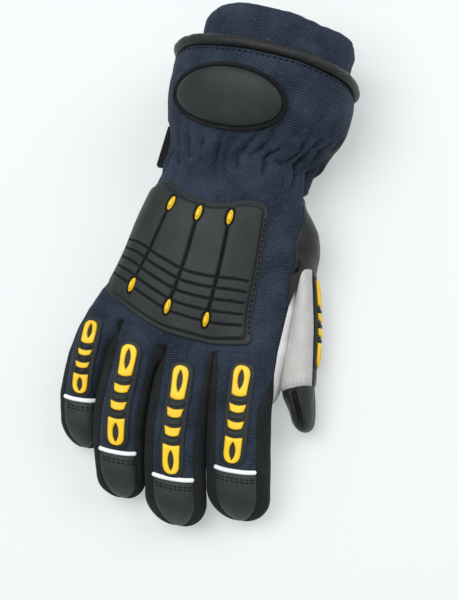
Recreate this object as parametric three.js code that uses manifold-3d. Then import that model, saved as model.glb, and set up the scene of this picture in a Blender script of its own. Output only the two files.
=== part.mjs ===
// A right-hand rescue glove, lying palm down: +Y points to the cuff, the fingers point to -Y,
// the thumb is on the +X side and the back of the hand faces +Z. All sizes are in millimetres.
//
// The glove is a hollow shell. The hand, each finger and the thumb are lofts whose sections lie in
// planes across Y. Their union, less the same lofts taken in by the wall thickness, is the shell.
// Seam cutters then divide the shell into the cut panels of the real glove.
import * as THREE from 'three';
import Module from 'manifold-3d';

const wasm = await Module();
wasm.setup();

// Driving dimensions
const wall = 2.8; // outer fabric and liner together
const seam_gap = 0.3; // between neighbouring panels
const seat_gap = 0.3; // between a panel and what is fixed on it
const hand_sides = 36; // points round a section of the hand
const finger_sides = 12;
const finger_hollow_sides = 8;
const hand_power = 2.4; // squareness of the hand's sections: 2 is an ellipse
const finger_power = 2.3;
const fingertip_dome = 16; // length over which a fingertip rounds off
const root_fullness = 0.74; // of a finger's width where it is buried in the hand
const root_swell_length = 22; // over which it fills out
const cap_line_bow = 1.5; // how far the cap seam bows towards the tip in mid back

// The hand, wrist and gauntlet. left and right are the edges at mid height, bottom and top the
// heights, slant the lean of the section plane (Y per X), gather the depth of the wrist pleats.
const hand_sections = [
  { y: -58, left: -45, right: 40, bottom: 17, top: 39, slant: -0.05, gather: 0 },
  { y: -50, left: -58, right: 46.5, bottom: 12, top: 44, slant: -0.08, gather: 0 },
  { y: -38, left: -63, right: 49.5, bottom: 7, top: 49, slant: -0.05, gather: 0 },
  { y: -20, left: -55, right: 50.5, bottom: 3, top: 53, slant: 0, gather: 0 },
  { y: 0, left: -48.5, right: 51, bottom: -1.5, top: 56, slant: 0, gather: 0 },
  { y: 20, left: -44, right: 51, bottom: -3, top: 59, slant: 0, gather: 0 },
  { y: 38, left: -38.5, right: 50, bottom: -2, top: 60, slant: 0, gather: 0 },
  { y: 49, left: -34, right: 50, bottom: 1, top: 60, slant: 0, gather: 0.9 },
  { y: 58, left: -30, right: 51.5, bottom: 2, top: 61.5, slant: 0, gather: 1.5 },
  { y: 68, left: -29, right: 56, bottom: 2, top: 65, slant: -0.02, gather: 1.5 },
  { y: 79, left: -33.5, right: 63.5, bottom: 1.5, top: 72, slant: -0.06, gather: 0.3 },
  { y: 92, left: -36, right: 71, bottom: 1.5, top: 79, slant: -0.11, gather: 0 },
  { y: 106, left: -36, right: 73.5, bottom: 1.5, top: 83, slant: -0.15, gather: 0 },
  { y: 120, left: -34.5, right: 73, bottom: 1.5, top: 84, slant: -0.158, gather: 0 },
];

// The inner cuff: how far its outside stands in from the gauntlet's outside, edge by edge.
const knit_sections = [
  { y: 97, left_in: 3.3, right_in: 3.3, bottom_in: 3.3, top_in: 3.3 },
  { y: 106, left_in: 3.3, right_in: 3.3, bottom_in: 3.3, top_in: 3.3 },
  { y: 114, left_in: 7, right_in: 4.2, bottom_in: 4.6, top_in: 5.5 },
  { y: 122, left_in: 10.5, right_in: 5.2, bottom_in: 6, top_in: 7 },
  { y: 131, left_in: 12, right_in: 5, bottom_in: 6.5, top_in: 7 },
  { y: 138, left_in: 11.5, right_in: 4.2, bottom_in: 5.5, top_in: 5.5 },
  { y: 142, left_in: 12, right_in: 4.8, bottom_in: 6, top_in: 6 },
  { y: 144.4, left_in: 13.2, right_in: 6, bottom_in: 7.2, top_in: 7.2 },
];
const knit_thickness = 4.2;
const binding_radius = 3;
const binding_flatness = 0.95; // of its height along the glove to its width
const binding_sides = 30;

// The fingers. x and z are the centre line's places at root, middle and tip. cap is the cap's
// length, seams the angles of the back panel's right and left seam. guard gives the moulded guard:
// its ends measured back from the tip, its offset from the centre line at each end, and its width.
const fingers = [
  {
    name: 'pinky', root_y: -24, tip_y: -113.5, x: [-50, -61.5, -57], z: [28, 23, 11],
    half_width: 13.2, half_height: 12, cap: 26.6, seams: [38, 128],
    guard: { from: 72.2, to: 30.1, offset_from: -1, offset_to: 1.8, width: 8.4 },
  },
  {
    name: 'ring', root_y: -27, tip_y: -139, x: [-31, -36, -29], z: [33, 28, 12],
    half_width: 15.4, half_height: 13.2, cap: 25, seams: [34, 122],
    guard: { from: 85.9, to: 28.9, offset_from: 4, offset_to: 2.8, width: 10 },
  },
  {
    name: 'middle', root_y: -28, tip_y: -149.5, x: [-2, -1, 7], z: [34, 29, 12],
    half_width: 17.5, half_height: 13.6, cap: 25.6, seams: [41, 126],
    guard: { from: 88.5, to: 28, offset_from: 4.2, offset_to: 1.6, width: 10 },
  },
  {
    name: 'index', root_y: -28, tip_y: -141, x: [29.5, 35.8, 42.5], z: [33, 28, 12],
    half_width: 18.2, half_height: 13.4, cap: 26.8, seams: [47, 130],
    guard: { from: 85.1, to: 30.9, offset_from: 4, offset_to: -1.2, width: 10 },
  },
];

// The thumb, opposed to the palm: its nail side faces +X. Sections from the root to the tip.
const thumb_sections = [
  { y: 47, left: 26, right: 48, bottom: 17, top: 42 },
  { y: 38, left: 26, right: 57, bottom: 9, top: 46 },
  { y: 28, left: 27, right: 63, bottom: 6, top: 46 },
  { y: 18, left: 30, right: 65, bottom: 4.5, top: 44 },
  { y: 8, left: 35, right: 63, bottom: 3, top: 41 },
  { y: -5, left: 42, right: 66.5, bottom: 2, top: 37 },
  { y: -25, left: 46, right: 71.5, bottom: 1, top: 33 },
  { y: -45, left: 51.2, right: 73.8, bottom: 0.5, top: 30.5 },
  { y: -62, left: 53.5, right: 76, bottom: 0, top: 28.5 },
  { y: -74, left: 60, right: 76.4, bottom: 1, top: 26 },
  { y: -81, left: 65, right: 76, bottom: 4.5, top: 22 },
  { y: -85, left: 70.5, right: 72.5, bottom: 12, top: 14 },
];

// Seam places round the hand, in degrees from +X over the back of the hand (+Z is 90).
const hand_seams = [
  { y: -60, back_right: 26, back_left: 155, palm_left: 212, palm_right: -24 },
  { y: -40, back_right: 24, back_left: 166, palm_left: 200, palm_right: -18 },
  { y: -15, back_right: 18, back_left: 183, palm_left: 183, palm_right: 0 },
  { y: 48, back_right: 14, back_left: 185, palm_left: 185, palm_right: -5 },
  { y: 70, back_right: 4, back_left: 185, palm_left: 185, palm_right: -5 },
  { y: 140, back_right: -14, back_left: 188, palm_left: 185, palm_right: -5 },
];
const finger_palm_seam = 35; // degrees below the horizontal, on both sides of a finger
const wrist_seam_y = 50; // the palm leather ends here and the gauntlet's underside begins

const materials = {
  navy: new THREE.MeshStandardMaterial({ color: 0x27314a, roughness: 0.95, metalness: 0 }),
  black_leather: new THREE.MeshStandardMaterial({ color: 0x25282a, roughness: 0.6, metalness: 0 }),
  black_fabric: new THREE.MeshStandardMaterial({ color: 0x17191b, roughness: 0.85, metalness: 0 }),
  grey_leather: new THREE.MeshStandardMaterial({ color: 0xc4c3c1, roughness: 0.75, metalness: 0 }),
  black_rubber: new THREE.MeshStandardMaterial({ color: 0x2b2e2f, roughness: 0.5, metalness: 0 }),
  yellow_rubber: new THREE.MeshStandardMaterial({ color: 0xf7c50a, roughness: 0.5, metalness: 0 }),
  reflective: new THREE.MeshStandardMaterial({ color: 0xf2f3f3, roughness: 0.35, metalness: 0 }),
};

const glove = new THREE.Group();

const radians = (degrees) => (degrees * Math.PI) / 180;
const mix = (a, b, t) => a + (b - a) * t;
const sum = (values) => values.reduce((total, value) => total + value, 0);

// Reads a column of a table, straight between its rows, which rise or fall in the key column.
function column(table, name, at, key = 'y') {
  const rows = table[0][key] < table[1][key] ? table : [...table].reverse();
  let i = 0;
  while (i < rows.length - 2 && rows[i + 1][key] < at) i += 1;
  const t = THREE.MathUtils.clamp((at - rows[i][key]) / (rows[i + 1][key] - rows[i][key]), 0, 1);
  return mix(rows[i][name], rows[i + 1][name], t);
}

// The parabola through three values at 0, 0.5 and 1.
function through([start, middle, end], t) {
  return (
    start * (2 * t - 1) * (t - 1) + middle * 4 * t * (1 - t) + end * t * (2 * t - 1)
  );
}

// A point of a section: a superellipse cut flat on the floor. The angle is measured from +X to +Z.
function sectionPoint(section, angle, inset = 0, swell = 0) {
  const power = 2 / section.power;
  const across = Math.max(section.half_width - inset, 0.05) + swell;
  const up = Math.max(section.half_height - inset, 0.05) + swell;
  const c = Math.cos(angle);
  const s = Math.sin(angle);
  const dx = across * Math.sign(c) * Math.abs(c) ** power;
  const dz = up * Math.sign(s) * Math.abs(s) ** power;
  const z = Math.max(section.z + dz, inset);
  return new THREE.Vector3(section.x + dx, section.y + section.slant * dx, z);
}

function ring(section, sides, inset = 0, gather = 0) {
  return Array.from({ length: sides }, (_, i) => {
    const pleat = i % 2 === 0 ? gather : -gather;
    return sectionPoint(section, (i / sides) * 2 * Math.PI, inset, pleat);
  });
}

function handSection(y) {
  const left = column(hand_sections, 'left', y);
  const right = column(hand_sections, 'right', y);
  const bottom = column(hand_sections, 'bottom', y);
  const top = column(hand_sections, 'top', y);
  return {
    y,
    x: (left + right) / 2,
    z: (bottom + top) / 2,
    half_width: (right - left) / 2,
    half_height: (top - bottom) / 2,
    slant: column(hand_sections, 'slant', y),
    power: hand_power,
  };
}

function thumbSection(y) {
  const left = column(thumb_sections, 'left', y);
  const right = column(thumb_sections, 'right', y);
  const bottom = column(thumb_sections, 'bottom', y);
  const top = column(thumb_sections, 'top', y);
  return {
    y,
    x: (left + right) / 2,
    z: (bottom + top) / 2,
    half_width: (right - left) / 2,
    half_height: (top - bottom) / 2,
    slant: 0,
    power: finger_power,
  };
}

// How full a finger is at a station: slim where it is buried in the hand, round at its tip.
function fingerFullness(finger, y) {
  const from_root = THREE.MathUtils.clamp((finger.root_y - y) / root_swell_length, 0, 1);
  const from_tip = Math.min((y - finger.tip_y) / fingertip_dome, 1);
  return mix(root_fullness, 1, from_root) * Math.sqrt(1 - (1 - from_tip) ** 2);
}

function fingerSection(finger, y) {
  const t = (finger.root_y - y) / (finger.root_y - finger.tip_y);
  const fullness = fingerFullness(finger, y);
  return {
    y,
    x: through(finger.x, t),
    z: through(finger.z, t),
    half_width: finger.half_width * fullness,
    half_height: finger.half_height * fullness,
    slant: 0,
    power: finger_power,
  };
}

// Stations along a finger: even down its shaft, closer over the dome.
function fingerStations(finger, inset) {
  const shaft_end = finger.tip_y + fingertip_dome;
  const shaft = [0, 0.18, 0.5, 1].map((t) => mix(finger.root_y - inset, shaft_end, t));
  const dome = [0.5, 0.2, 0.05, 0.004].map((t) => finger.tip_y + fingertip_dome * t);
  return [...shaft, ...dome];
}

// A closed solid skinned over rings of equal length, with a fan over each end.
function skin(rings) {
  const count = rings[0].length;
  const points = rings.flat();
  const faces = [];
  for (let row = 0; row + 1 < rings.length; row += 1) {
    for (let i = 0; i < count; i += 1) {
      const a = row * count + i;
      const b = row * count + ((i + 1) % count);
      faces.push([a, b, b + count], [a, b + count, a + count]);
    }
  }
  const addFan = (first, turned) => {
    const centre = new THREE.Vector3();
    for (let i = 0; i < count; i += 1) centre.add(points[first + i]);
    points.push(centre.divideScalar(count));
    for (let i = 0; i < count; i += 1) {
      const a = first + i;
      const b = first + ((i + 1) % count);
      faces.push(turned ? [b, a, points.length - 1] : [a, b, points.length - 1]);
    }
  };
  addFan((rings.length - 1) * count, false);
  addFan(0, true);
  return solid(points, faces);
}

// A closed tube wall: the rings run out, over the rim and back to the first ring.
function ringWall(rings) {
  const count = rings[0].length;
  const points = rings.flat();
  const faces = [];
  for (let row = 0; row < rings.length; row += 1) {
    const next_row = (row + 1) % rings.length;
    for (let i = 0; i < count; i += 1) {
      const j = (i + 1) % count;
      const [a, b] = [row * count + i, row * count + j];
      const [c, d] = [next_row * count + j, next_row * count + i];
      faces.push([a, b, c], [a, c, d]);
    }
  }
  return solid(points, faces);
}

// Points and faces as a solid, turned right side out.
function solid(points, faces) {
  const volume = sum(
    faces.map(([a, b, c]) => points[a].dot(points[b].clone().cross(points[c])) / 6),
  );
  const outward = volume > 0 ? faces : faces.map(([a, b, c]) => [a, c, b]);
  return new wasm.Manifold(
    new wasm.Mesh({
      numProp: 3,
      vertProperties: new Float32Array(points.flatMap((p) => p.toArray())),
      triVerts: new Uint32Array(outward.flat()),
    }),
  );
}

// An upright block over an outline in plan.
function block(outline, low, high) {
  const level = (z) => outline.map(([x, y]) => new THREE.Vector3(x, y, z));
  return skin([level(low), level(high)]);
}

// A slab over a grid of places: under and over give the lower and upper point of each place.
function slab(columns, rows, under, over) {
  const points = [];
  const faces = [];
  const at = (i, j, level) => (level * (rows + 1) + j) * (columns + 1) + i;
  for (const place of [under, over]) {
    for (let j = 0; j <= rows; j += 1) {
      for (let i = 0; i <= columns; i += 1) points.push(place(i, j));
    }
  }
  for (let j = 0; j < rows; j += 1) {
    for (let i = 0; i < columns; i += 1) {
      faces.push([at(i, j, 1), at(i + 1, j, 1), at(i + 1, j + 1, 1)]);
      faces.push([at(i, j, 1), at(i + 1, j + 1, 1), at(i, j + 1, 1)]);
      faces.push([at(i, j, 0), at(i + 1, j + 1, 0), at(i + 1, j, 0)]);
      faces.push([at(i, j, 0), at(i, j + 1, 0), at(i + 1, j + 1, 0)]);
    }
  }
  const close = (i0, j0, i1, j1) => {
    faces.push([at(i0, j0, 0), at(i1, j1, 0), at(i1, j1, 1)]);
    faces.push([at(i0, j0, 0), at(i1, j1, 1), at(i0, j0, 1)]);
  };
  for (let i = 0; i < columns; i += 1) {
    close(i, 0, i + 1, 0);
    close(i + 1, rows, i, rows);
  }
  for (let j = 0; j < rows; j += 1) {
    close(columns, j, columns, j + 1);
    close(0, j + 1, 0, j);
  }
  return solid(points, faces);
}

function biggest(manifold) {
  return manifold.decompose().sort((a, b) => b.volume() - a.volume())[0];
}

function add(name, manifold, material) {
  const { vertProperties, triVerts } = manifold.getMesh();
  const geometry = new THREE.BufferGeometry();
  geometry.setAttribute('position', new THREE.BufferAttribute(vertProperties, 3));
  geometry.setIndex(new THREE.BufferAttribute(triVerts, 1));
  geometry.computeVertexNormals();
  const mesh = new THREE.Mesh(geometry, material);
  mesh.name = name;
  glove.add(mesh);
}

// The volume that one skin of the glove holds, taken in from the outer skin by inset. A hollow
// runs on past the gauntlet's rim, so that it is open there.
function handVolume(inset) {
  const past_rim = 5;
  const sections = hand_sections.map((row) => ({ ...handSection(row.y), gather: row.gather }));
  if (inset > 0) {
    sections[0].y += inset;
    const rim = sections.at(-1);
    sections.push({ ...rim, y: rim.y + past_rim });
  }
  const sides = inset > 0 ? hand_sides / 2 : hand_sides;
  return skin(sections.map((s) => ring(s, sides, inset, inset > 0 ? 0 : s.gather)));
}

function fingerVolume(finger, inset) {
  const stations = fingerStations(finger, inset);
  const rings = stations.map((y) => {
    const section = fingerSection(finger, y);
    const tip_share = THREE.MathUtils.clamp((y - finger.tip_y) / fingertip_dome, 0, 1);
    section.y = y + inset * (1 - tip_share);
    const sides = inset > 0 ? finger_hollow_sides : finger_sides;
    return ring(section, sides, Math.min(inset, section.half_height * 0.6));
  });
  return skin(rings);
}

function thumbVolume(inset) {
  const rings = thumb_sections.map((row, i) => {
    const section = thumbSection(row.y);
    const last = thumb_sections.length - 1;
    if (inset > 0 && i >= last - 2) section.y += inset * (1 - (last - i) / 3);
    const sides = inset > 0 ? finger_hollow_sides : finger_sides;
    return ring(section, sides, Math.min(inset, section.half_width * 0.6));
  });
  return skin(rings);
}

function gloveVolume(inset) {
  const hand_and_thumb = handVolume(inset).add(thumbVolume(inset));
  return fingers.reduce((whole, finger) => whole.add(fingerVolume(finger, inset)), hand_and_thumb);
}

// The room between two seams of a tube, fanning out from its centre line. Half the seam gap comes
// off each side of the room for a panel, and is added to it for what is cut away round the panel.
function seamFan(section_at, stations, from_angle, to_angle, reach, gap) {
  const steps = 4;
  const rings = stations.map((y) => {
    const section = section_at(y);
    const from = radians(from_angle(y));
    const to = radians(to_angle(y));
    const centre = new THREE.Vector3(section.x, section.y, section.z);
    const arm = (angle) => {
      const direction = sectionPoint({ ...section, z: 500, slant: 0 }, angle);
      direction.sub(new THREE.Vector3(section.x, section.y, 500));
      return direction;
    };
    const start = arm(from).normalize();
    const end = arm(to).normalize();
    const turned = Math.atan2(start.x * end.z - start.z * end.x, start.x * end.x + start.z * end.z);
    const half = (turned > 0 ? turned : turned + 2 * Math.PI) / 2;
    const middle = Math.atan2(start.z, start.x) + half;
    const inward = new THREE.Vector3(Math.cos(middle), 0, Math.sin(middle));
    const apex = centre.clone().addScaledVector(inward, gap / Math.sin(half));
    const fan = [apex];
    for (let i = 0; i <= steps; i += 1) {
      const point = arm(mix(from, to, i / steps)).multiplyScalar(reach);
      point.setLength(point.length() - gap).add(centre);
      if (i === 0) point.add(new THREE.Vector3(-start.z, 0, start.x).multiplyScalar(gap));
      if (i === steps) point.add(new THREE.Vector3(end.z, 0, -end.x).multiplyScalar(gap));
      point.y += section.slant * (point.x - section.x);
      fan.push(point);
    }
    return fan;
  });
  return skin(rings);
}

const half_gap = seam_gap / 2;
const hand_reach = 1.4; // how far a hand cutter reaches, in half widths of the hand
const finger_reach = 1.6;
const cutter_end_y = 136; // past the gauntlet's rim
const past_tip = 4; // how far a finger cutter runs past the tip
const fan_root = 12; // a finger's cutters start this far in front of its root
let rest = gloveVolume(0).subtract(gloveVolume(wall));

// Takes a panel out of what is left of the shell.
function carve(cutter) {
  const panel = biggest(rest.intersect(cutter(half_gap)));
  rest = rest.subtract(cutter(-half_gap));
  return panel;
}

// Gauntlet underside: the palm side of gauntlet and wrist.
const shaft_section = (finger) => (y) => {
  const section = fingerSection(finger, Math.max(y, finger.tip_y + fingertip_dome));
  const t = (finger.root_y - y) / (finger.root_y - finger.tip_y);
  return { ...section, y, x: through(finger.x, t), z: through(finger.z, t) };
};
const seam_at = (name) => (y) => column(hand_seams, name, y);
const hand_rows = hand_sections.map((row) => row.y);
const gauntlet_rows = [wrist_seam_y, ...hand_rows.filter((y) => y > wrist_seam_y), cutter_end_y];
const underside = (gap) =>
  seamFan(
    handSection,
    [wrist_seam_y + gap, ...gauntlet_rows.slice(1)],
    (y) => seam_at('back_left')(y) - 0.5,
    (y) => 360 + seam_at('back_right')(y) + 0.5,
    hand_reach,
    gap,
  );
add('gauntlet_underside', carve(underside), materials.black_leather);

// Fingertip caps, on the back of each finger beyond the reflective piping.
const station_step = 30;
const finger_stations = (from, to) => {
  const steps = Math.ceil((from - to) / station_step);
  return Array.from({ length: steps + 1 }, (_, i) => Math.min(from, to + (steps - i) * station_step));
};
const cap_line = (finger) => finger.tip_y + finger.cap;
for (const finger of fingers) {
  const cap = (gap) =>
    seamFan(
      shaft_section(finger),
      finger_stations(cap_line(finger) - gap, finger.tip_y - past_tip),
      () => finger.seams[0],
      () => finger.seams[1],
      finger_reach,
      gap,
    );
  add(`cap_${finger.name}`, carve(cap), materials.black_leather);
}

// The navy back: the hand's fan and the four fingers' fans as one cutter.
const slit_top = -45; // the slits between the fingers' backs end here
const slit_slant = -0.12;
const knuckle_seams = { index: 26, pinky: 164 }; // where the outer seams leave the knuckles
const knuckle_seam_run = 40; // length over which they turn to the fingers' own seam angles
const back = (gap) => {
  const palm_rows = [slit_top + gap, -38, ...hand_rows.filter((y) => y > -30), cutter_end_y];
  const sections = (y) => ({
    ...handSection(y),
    slant: y < -40 ? slit_slant : handSection(y).slant,
  });
  const [from, to] = [seam_at('back_right'), seam_at('back_left')];
  let cutter = seamFan(sections, palm_rows, from, to, hand_reach, gap);
  cutter = cutter.intersect(handVolume(gap - 3 * seam_gap));
  for (const finger of fingers) {
    const root = finger.root_y - fan_root - gap;
    const turned = (y) => THREE.MathUtils.clamp((root - y) / knuckle_seam_run, 0, 1);
    const right = (y) =>
      finger.name === 'index'
        ? mix(knuckle_seams.index, finger.seams[0], turned(y))
        : finger.seams[0];
    const left = (y) =>
      finger.name === 'pinky'
        ? mix(knuckle_seams.pinky, finger.seams[1], turned(y))
        : finger.seams[1];
    cutter = cutter.add(
      seamFan(
        shaft_section(finger),
        finger_stations(root, cap_line(finger) - half_gap + gap),
        right,
        left,
        finger_reach,
        gap,
      ),
    );
  }
  return cutter;
};
add('back_panel', carve(back), materials.navy);

// The thumb, outside the hand's own skin: cap, back, saddle over its root, and palm side.
const thumb_cap_line = (x) => -64 + 0.33 * (x - 54.3);
const saddle_line = (x) => 8.8 + 1.3 * (x - 60.5);
const thumb_room = { left: 30, right: 90, low: -20, high: 70, far: 120 };
const thumb_swell = 2; // how far the thumb's cutters reach outside its skin
const beyond = (line, gap, side) => {
  const { left, right, low, high, far } = thumb_room;
  return block(
    [
      [left, line(left) + gap],
      [right, line(right) + gap],
      [right, line(right) + far * side],
      [left, line(left) + far * side],
    ],
    low,
    high,
  );
};
const thumb_only = (gap) => {
  const rings = thumb_sections.map((row) => ring(thumbSection(row.y), finger_sides, -thumb_swell));
  const swollen = skin(rings);
  return swollen.subtract(handVolume(gap < 0 ? seam_gap : 0));
};
const thumb_cap = (gap) => thumb_only(gap).intersect(beyond(thumb_cap_line, -gap, -1));
add('thumb_cap', carve(thumb_cap), materials.black_leather);
const below_saddle = (gap) => thumb_only(gap).intersect(beyond(saddle_line, -gap, -1));
const thumb_rows = thumb_sections.map((row) => row.y).reverse();
const thumb_back_seams = { from: -50, to: 35 }; // degrees round the thumb
const thumb_back = (gap) => {
  const [from, to] = [() => thumb_back_seams.from, () => thumb_back_seams.to];
  const fan = seamFan(thumbSection, thumb_rows.slice(1), from, to, finger_reach, gap);
  return fan.intersect(below_saddle(gap));
};
add('thumb_back', carve(thumb_back), materials.black_leather);
add('thumb_palm', carve(below_saddle), materials.grey_leather);
const saddle_room = { left: 35, low: 14, y: -20 };
const saddle = (gap) => {
  const plan = beyond(saddle_line, gap, 1);
  const room = block(
    [
      [saddle_room.left + gap, saddle_room.y],
      [thumb_room.right, saddle_room.y],
      [thumb_room.right, wrist_seam_y],
      [saddle_room.left + gap, wrist_seam_y],
    ],
    saddle_room.low + gap,
    thumb_room.high,
  );
  return plan.intersect(room);
};
add('thumb_saddle', carve(saddle), materials.black_leather);

// The palm leather: the hand's palm side with the palm side of the four fingers.
const palm_slit_top = -48; // the slits between the fingers' palm sides end here
const palm = (gap) => {
  const inner_rows = hand_rows.filter((y) => y > palm_slit_top + 3 && y < wrist_seam_y);
  const rows = [palm_slit_top + gap, ...inner_rows, wrist_seam_y + 1];
  const turn = (y) => 360 + seam_at('palm_right')(y);
  let cutter = seamFan(handSection, rows, seam_at('palm_left'), turn, 1.5, gap);
  for (const finger of fingers) {
    const from = () => 180 + finger_palm_seam;
    const to = () => 360 - finger_palm_seam;
    const stations = finger_stations(finger.root_y - fan_root - gap, finger.tip_y - past_tip);
    cutter = cutter.add(
      seamFan(shaft_section(finger), stations, from, to, finger_reach, gap),
    );
  }
  return cutter;
};
add('palm_panel', carve(palm), materials.grey_leather);

// What is left are the side strips, from the little finger's outer side to the index finger's.
const side_names = [
  'side_pinky_outer',
  'side_pinky_ring',
  'side_ring_middle',
  'side_middle_index',
  'side_index_outer',
];
const middle_x = (manifold) => {
  const { min, max } = manifold.boundingBox();
  return (min[0] + max[0]) / 2;
};
const strips = rest
  .decompose()
  .sort((a, b) => b.volume() - a.volume())
  .slice(0, side_names.length)
  .sort((a, b) => middle_x(a) - middle_x(b));
strips.forEach((strip, i) => add(side_names[i], strip, materials.black_fabric));

// The body as a solid, grown by the seat gap: what is fixed on the glove is trimmed with it.
const seat = gloveVolume(-seat_gap);

// The inner cuff, seated against the inside of the gauntlet.
const knitRing = (row, inset) => {
  const gauntlet = handSection(row.y);
  const section = {
    ...gauntlet,
    x: gauntlet.x + (row.left_in - row.right_in) / 2,
    z: gauntlet.z + (row.bottom_in - row.top_in) / 2,
    half_width: gauntlet.half_width - (row.left_in + row.right_in) / 2,
    half_height: gauntlet.half_height - (row.bottom_in + row.top_in) / 2,
  };
  return ring(section, hand_sides / 2, inset);
};
const knit_outside = knit_sections.map((row) => knitRing(row, 0));
const knit_inside = knit_sections
  .slice(0, -1)
  .reverse()
  .map((row) => knitRing(row, knit_thickness));
add('knit_cuff', ringWall([...knit_outside, ...knit_inside]), materials.navy);

// The rolled binding, a cord over the gauntlet's edge.
const rim = handSection(hand_sections.at(-1).y);
const cord_sides = 6;
const binding_rings = Array.from({ length: cord_sides }, (_, i) => {
  const angle = (i / cord_sides) * 2 * Math.PI;
  const inset = wall / 2 + binding_radius * Math.cos(angle);
  const section = {
    ...rim,
    y: rim.y + seat_gap + binding_radius * (1 + Math.sin(angle)) * binding_flatness,
    half_width: rim.half_width - inset,
    half_height: rim.half_height - inset,
  };
  return ring(section, binding_sides);
});
add('cuff_binding', ringWall(binding_rings), materials.black_leather);

// A place on what is fixed to the glove: across and along are measured on the surface of one tube,
// from the middle line of its back or, for the thumb, of its outer side.
const angleShare = (share, power) => Math.sign(share) * Math.abs(share) ** (power / 2);
const fingerPlace = (finger) => (across, from_tip, height) => {
  const section = shaft_section(finger)(finger.tip_y + from_tip);
  const angle = Math.acos(angleShare(across / section.half_width, section.power));
  return sectionPoint(section, angle, 0, height);
};
const thumbPlace = (across, from_tip, height) => {
  const section = thumbSection(thumb_tip_y + from_tip);
  const angle = Math.asin(angleShare(across / section.half_height, section.power));
  return sectionPoint(section, -angle, 0, height);
};

// A raised patch over an outline of [across, along] places, drawn in towards its middle in loops.
function patch(place, outline, low, high, crown = 0, shares = [1, 0.35]) {
  const across_mid = sum(outline.map(([across]) => across)) / outline.length;
  const along_mid = sum(outline.map(([, along]) => along)) / outline.length;
  const level = (share, height) =>
    outline.map(([across, along]) =>
      place(mix(across_mid, across, share), mix(along_mid, along, share), height),
    );
  const under = [...shares].reverse().map((share) => level(share, low));
  const over = shares.map((share) => level(share, high + crown * (1 - share ** 2)));
  return skin([...under, ...over]);
}

// A bar over a grid of three places across and two along: its knuckle side is curved in, and its
// other side is narrower and curved out.
function bar(place, half_across, from, to, low, high) {
  const spot = (height) => (i, j) => {
    const bow = i === 1 ? guard_bar_hollow * mix(1, guard_bar_bulge, j) : 0;
    const half = half_across * mix(1, guard_bar_taper, j);
    return place((i - 1) * half, mix(from, to, j) - bow, height);
  };
  return slab(2, 1, spot(low), spot(high));
}

// A raised band between two outlines of as many places.
function band(place, outer, inner, low, high) {
  const level = (loop, height) => loop.map(([across, along]) => place(across, along, height));
  return ringWall([level(outer, low), level(outer, high), level(inner, high), level(inner, low)]);
}

// An oval of [across, along] places about its middle.
function oval(across_mid, along_mid, half_across, half_along, sides) {
  return Array.from({ length: sides }, (_, i) => {
    const angle = (i / sides) * 2 * Math.PI;
    return [across_mid + half_across * Math.cos(angle), along_mid + half_along * Math.sin(angle)];
  });
}

// The moulded guards. Each row is one island of the pattern: its ends as shares of the guard's
// length from the knuckle, and whether it is a yellow island or one of the raised black bars.
const guard_islands = [
  { name: 'guard_head', from: 0, to: 0.31, yellow: true },
  { name: 'bar_1', from: 0.33, to: 0.365, yellow: false },
  { name: 'guard_bar_upper', from: 0.385, to: 0.475, yellow: true },
  { name: 'bar_2', from: 0.497, to: 0.535, yellow: false },
  { name: 'guard_bar_lower', from: 0.557, to: 0.647, yellow: true },
  { name: 'bar_3', from: 0.668, to: 0.702, yellow: false },
  { name: 'guard_tail', from: 0.722, to: 1, yellow: true },
];
const thumb_guard = { from: 90, to: 33, offset_from: 0, offset_to: 0, width: 10 };
const guard_margin = 1.3; // of the black base round the islands
const guard_base_height = 1.5;
const guard_island_height = 3.2;
const guard_lens_share = 0.42; // of a ring's width and length
const guard_bar_hollow = 1.6; // how deep the knuckle side of a bar is curved in
const guard_bar_bulge = 0.4; // how far its other side is curved out, as a share of that
const guard_bar_taper = 0.82; // width of its other side
const root_depth = -1.2; // how far a patch starts below the surface, before it is trimmed

const thumb_tip_y = thumb_sections.at(-1).y;
const guards = fingers.map((finger) => ({
  ...finger.guard,
  name: finger.name,
  surface: fingerPlace(finger),
}));
guards.push({ ...thumb_guard, name: 'thumb', surface: thumbPlace });

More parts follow.
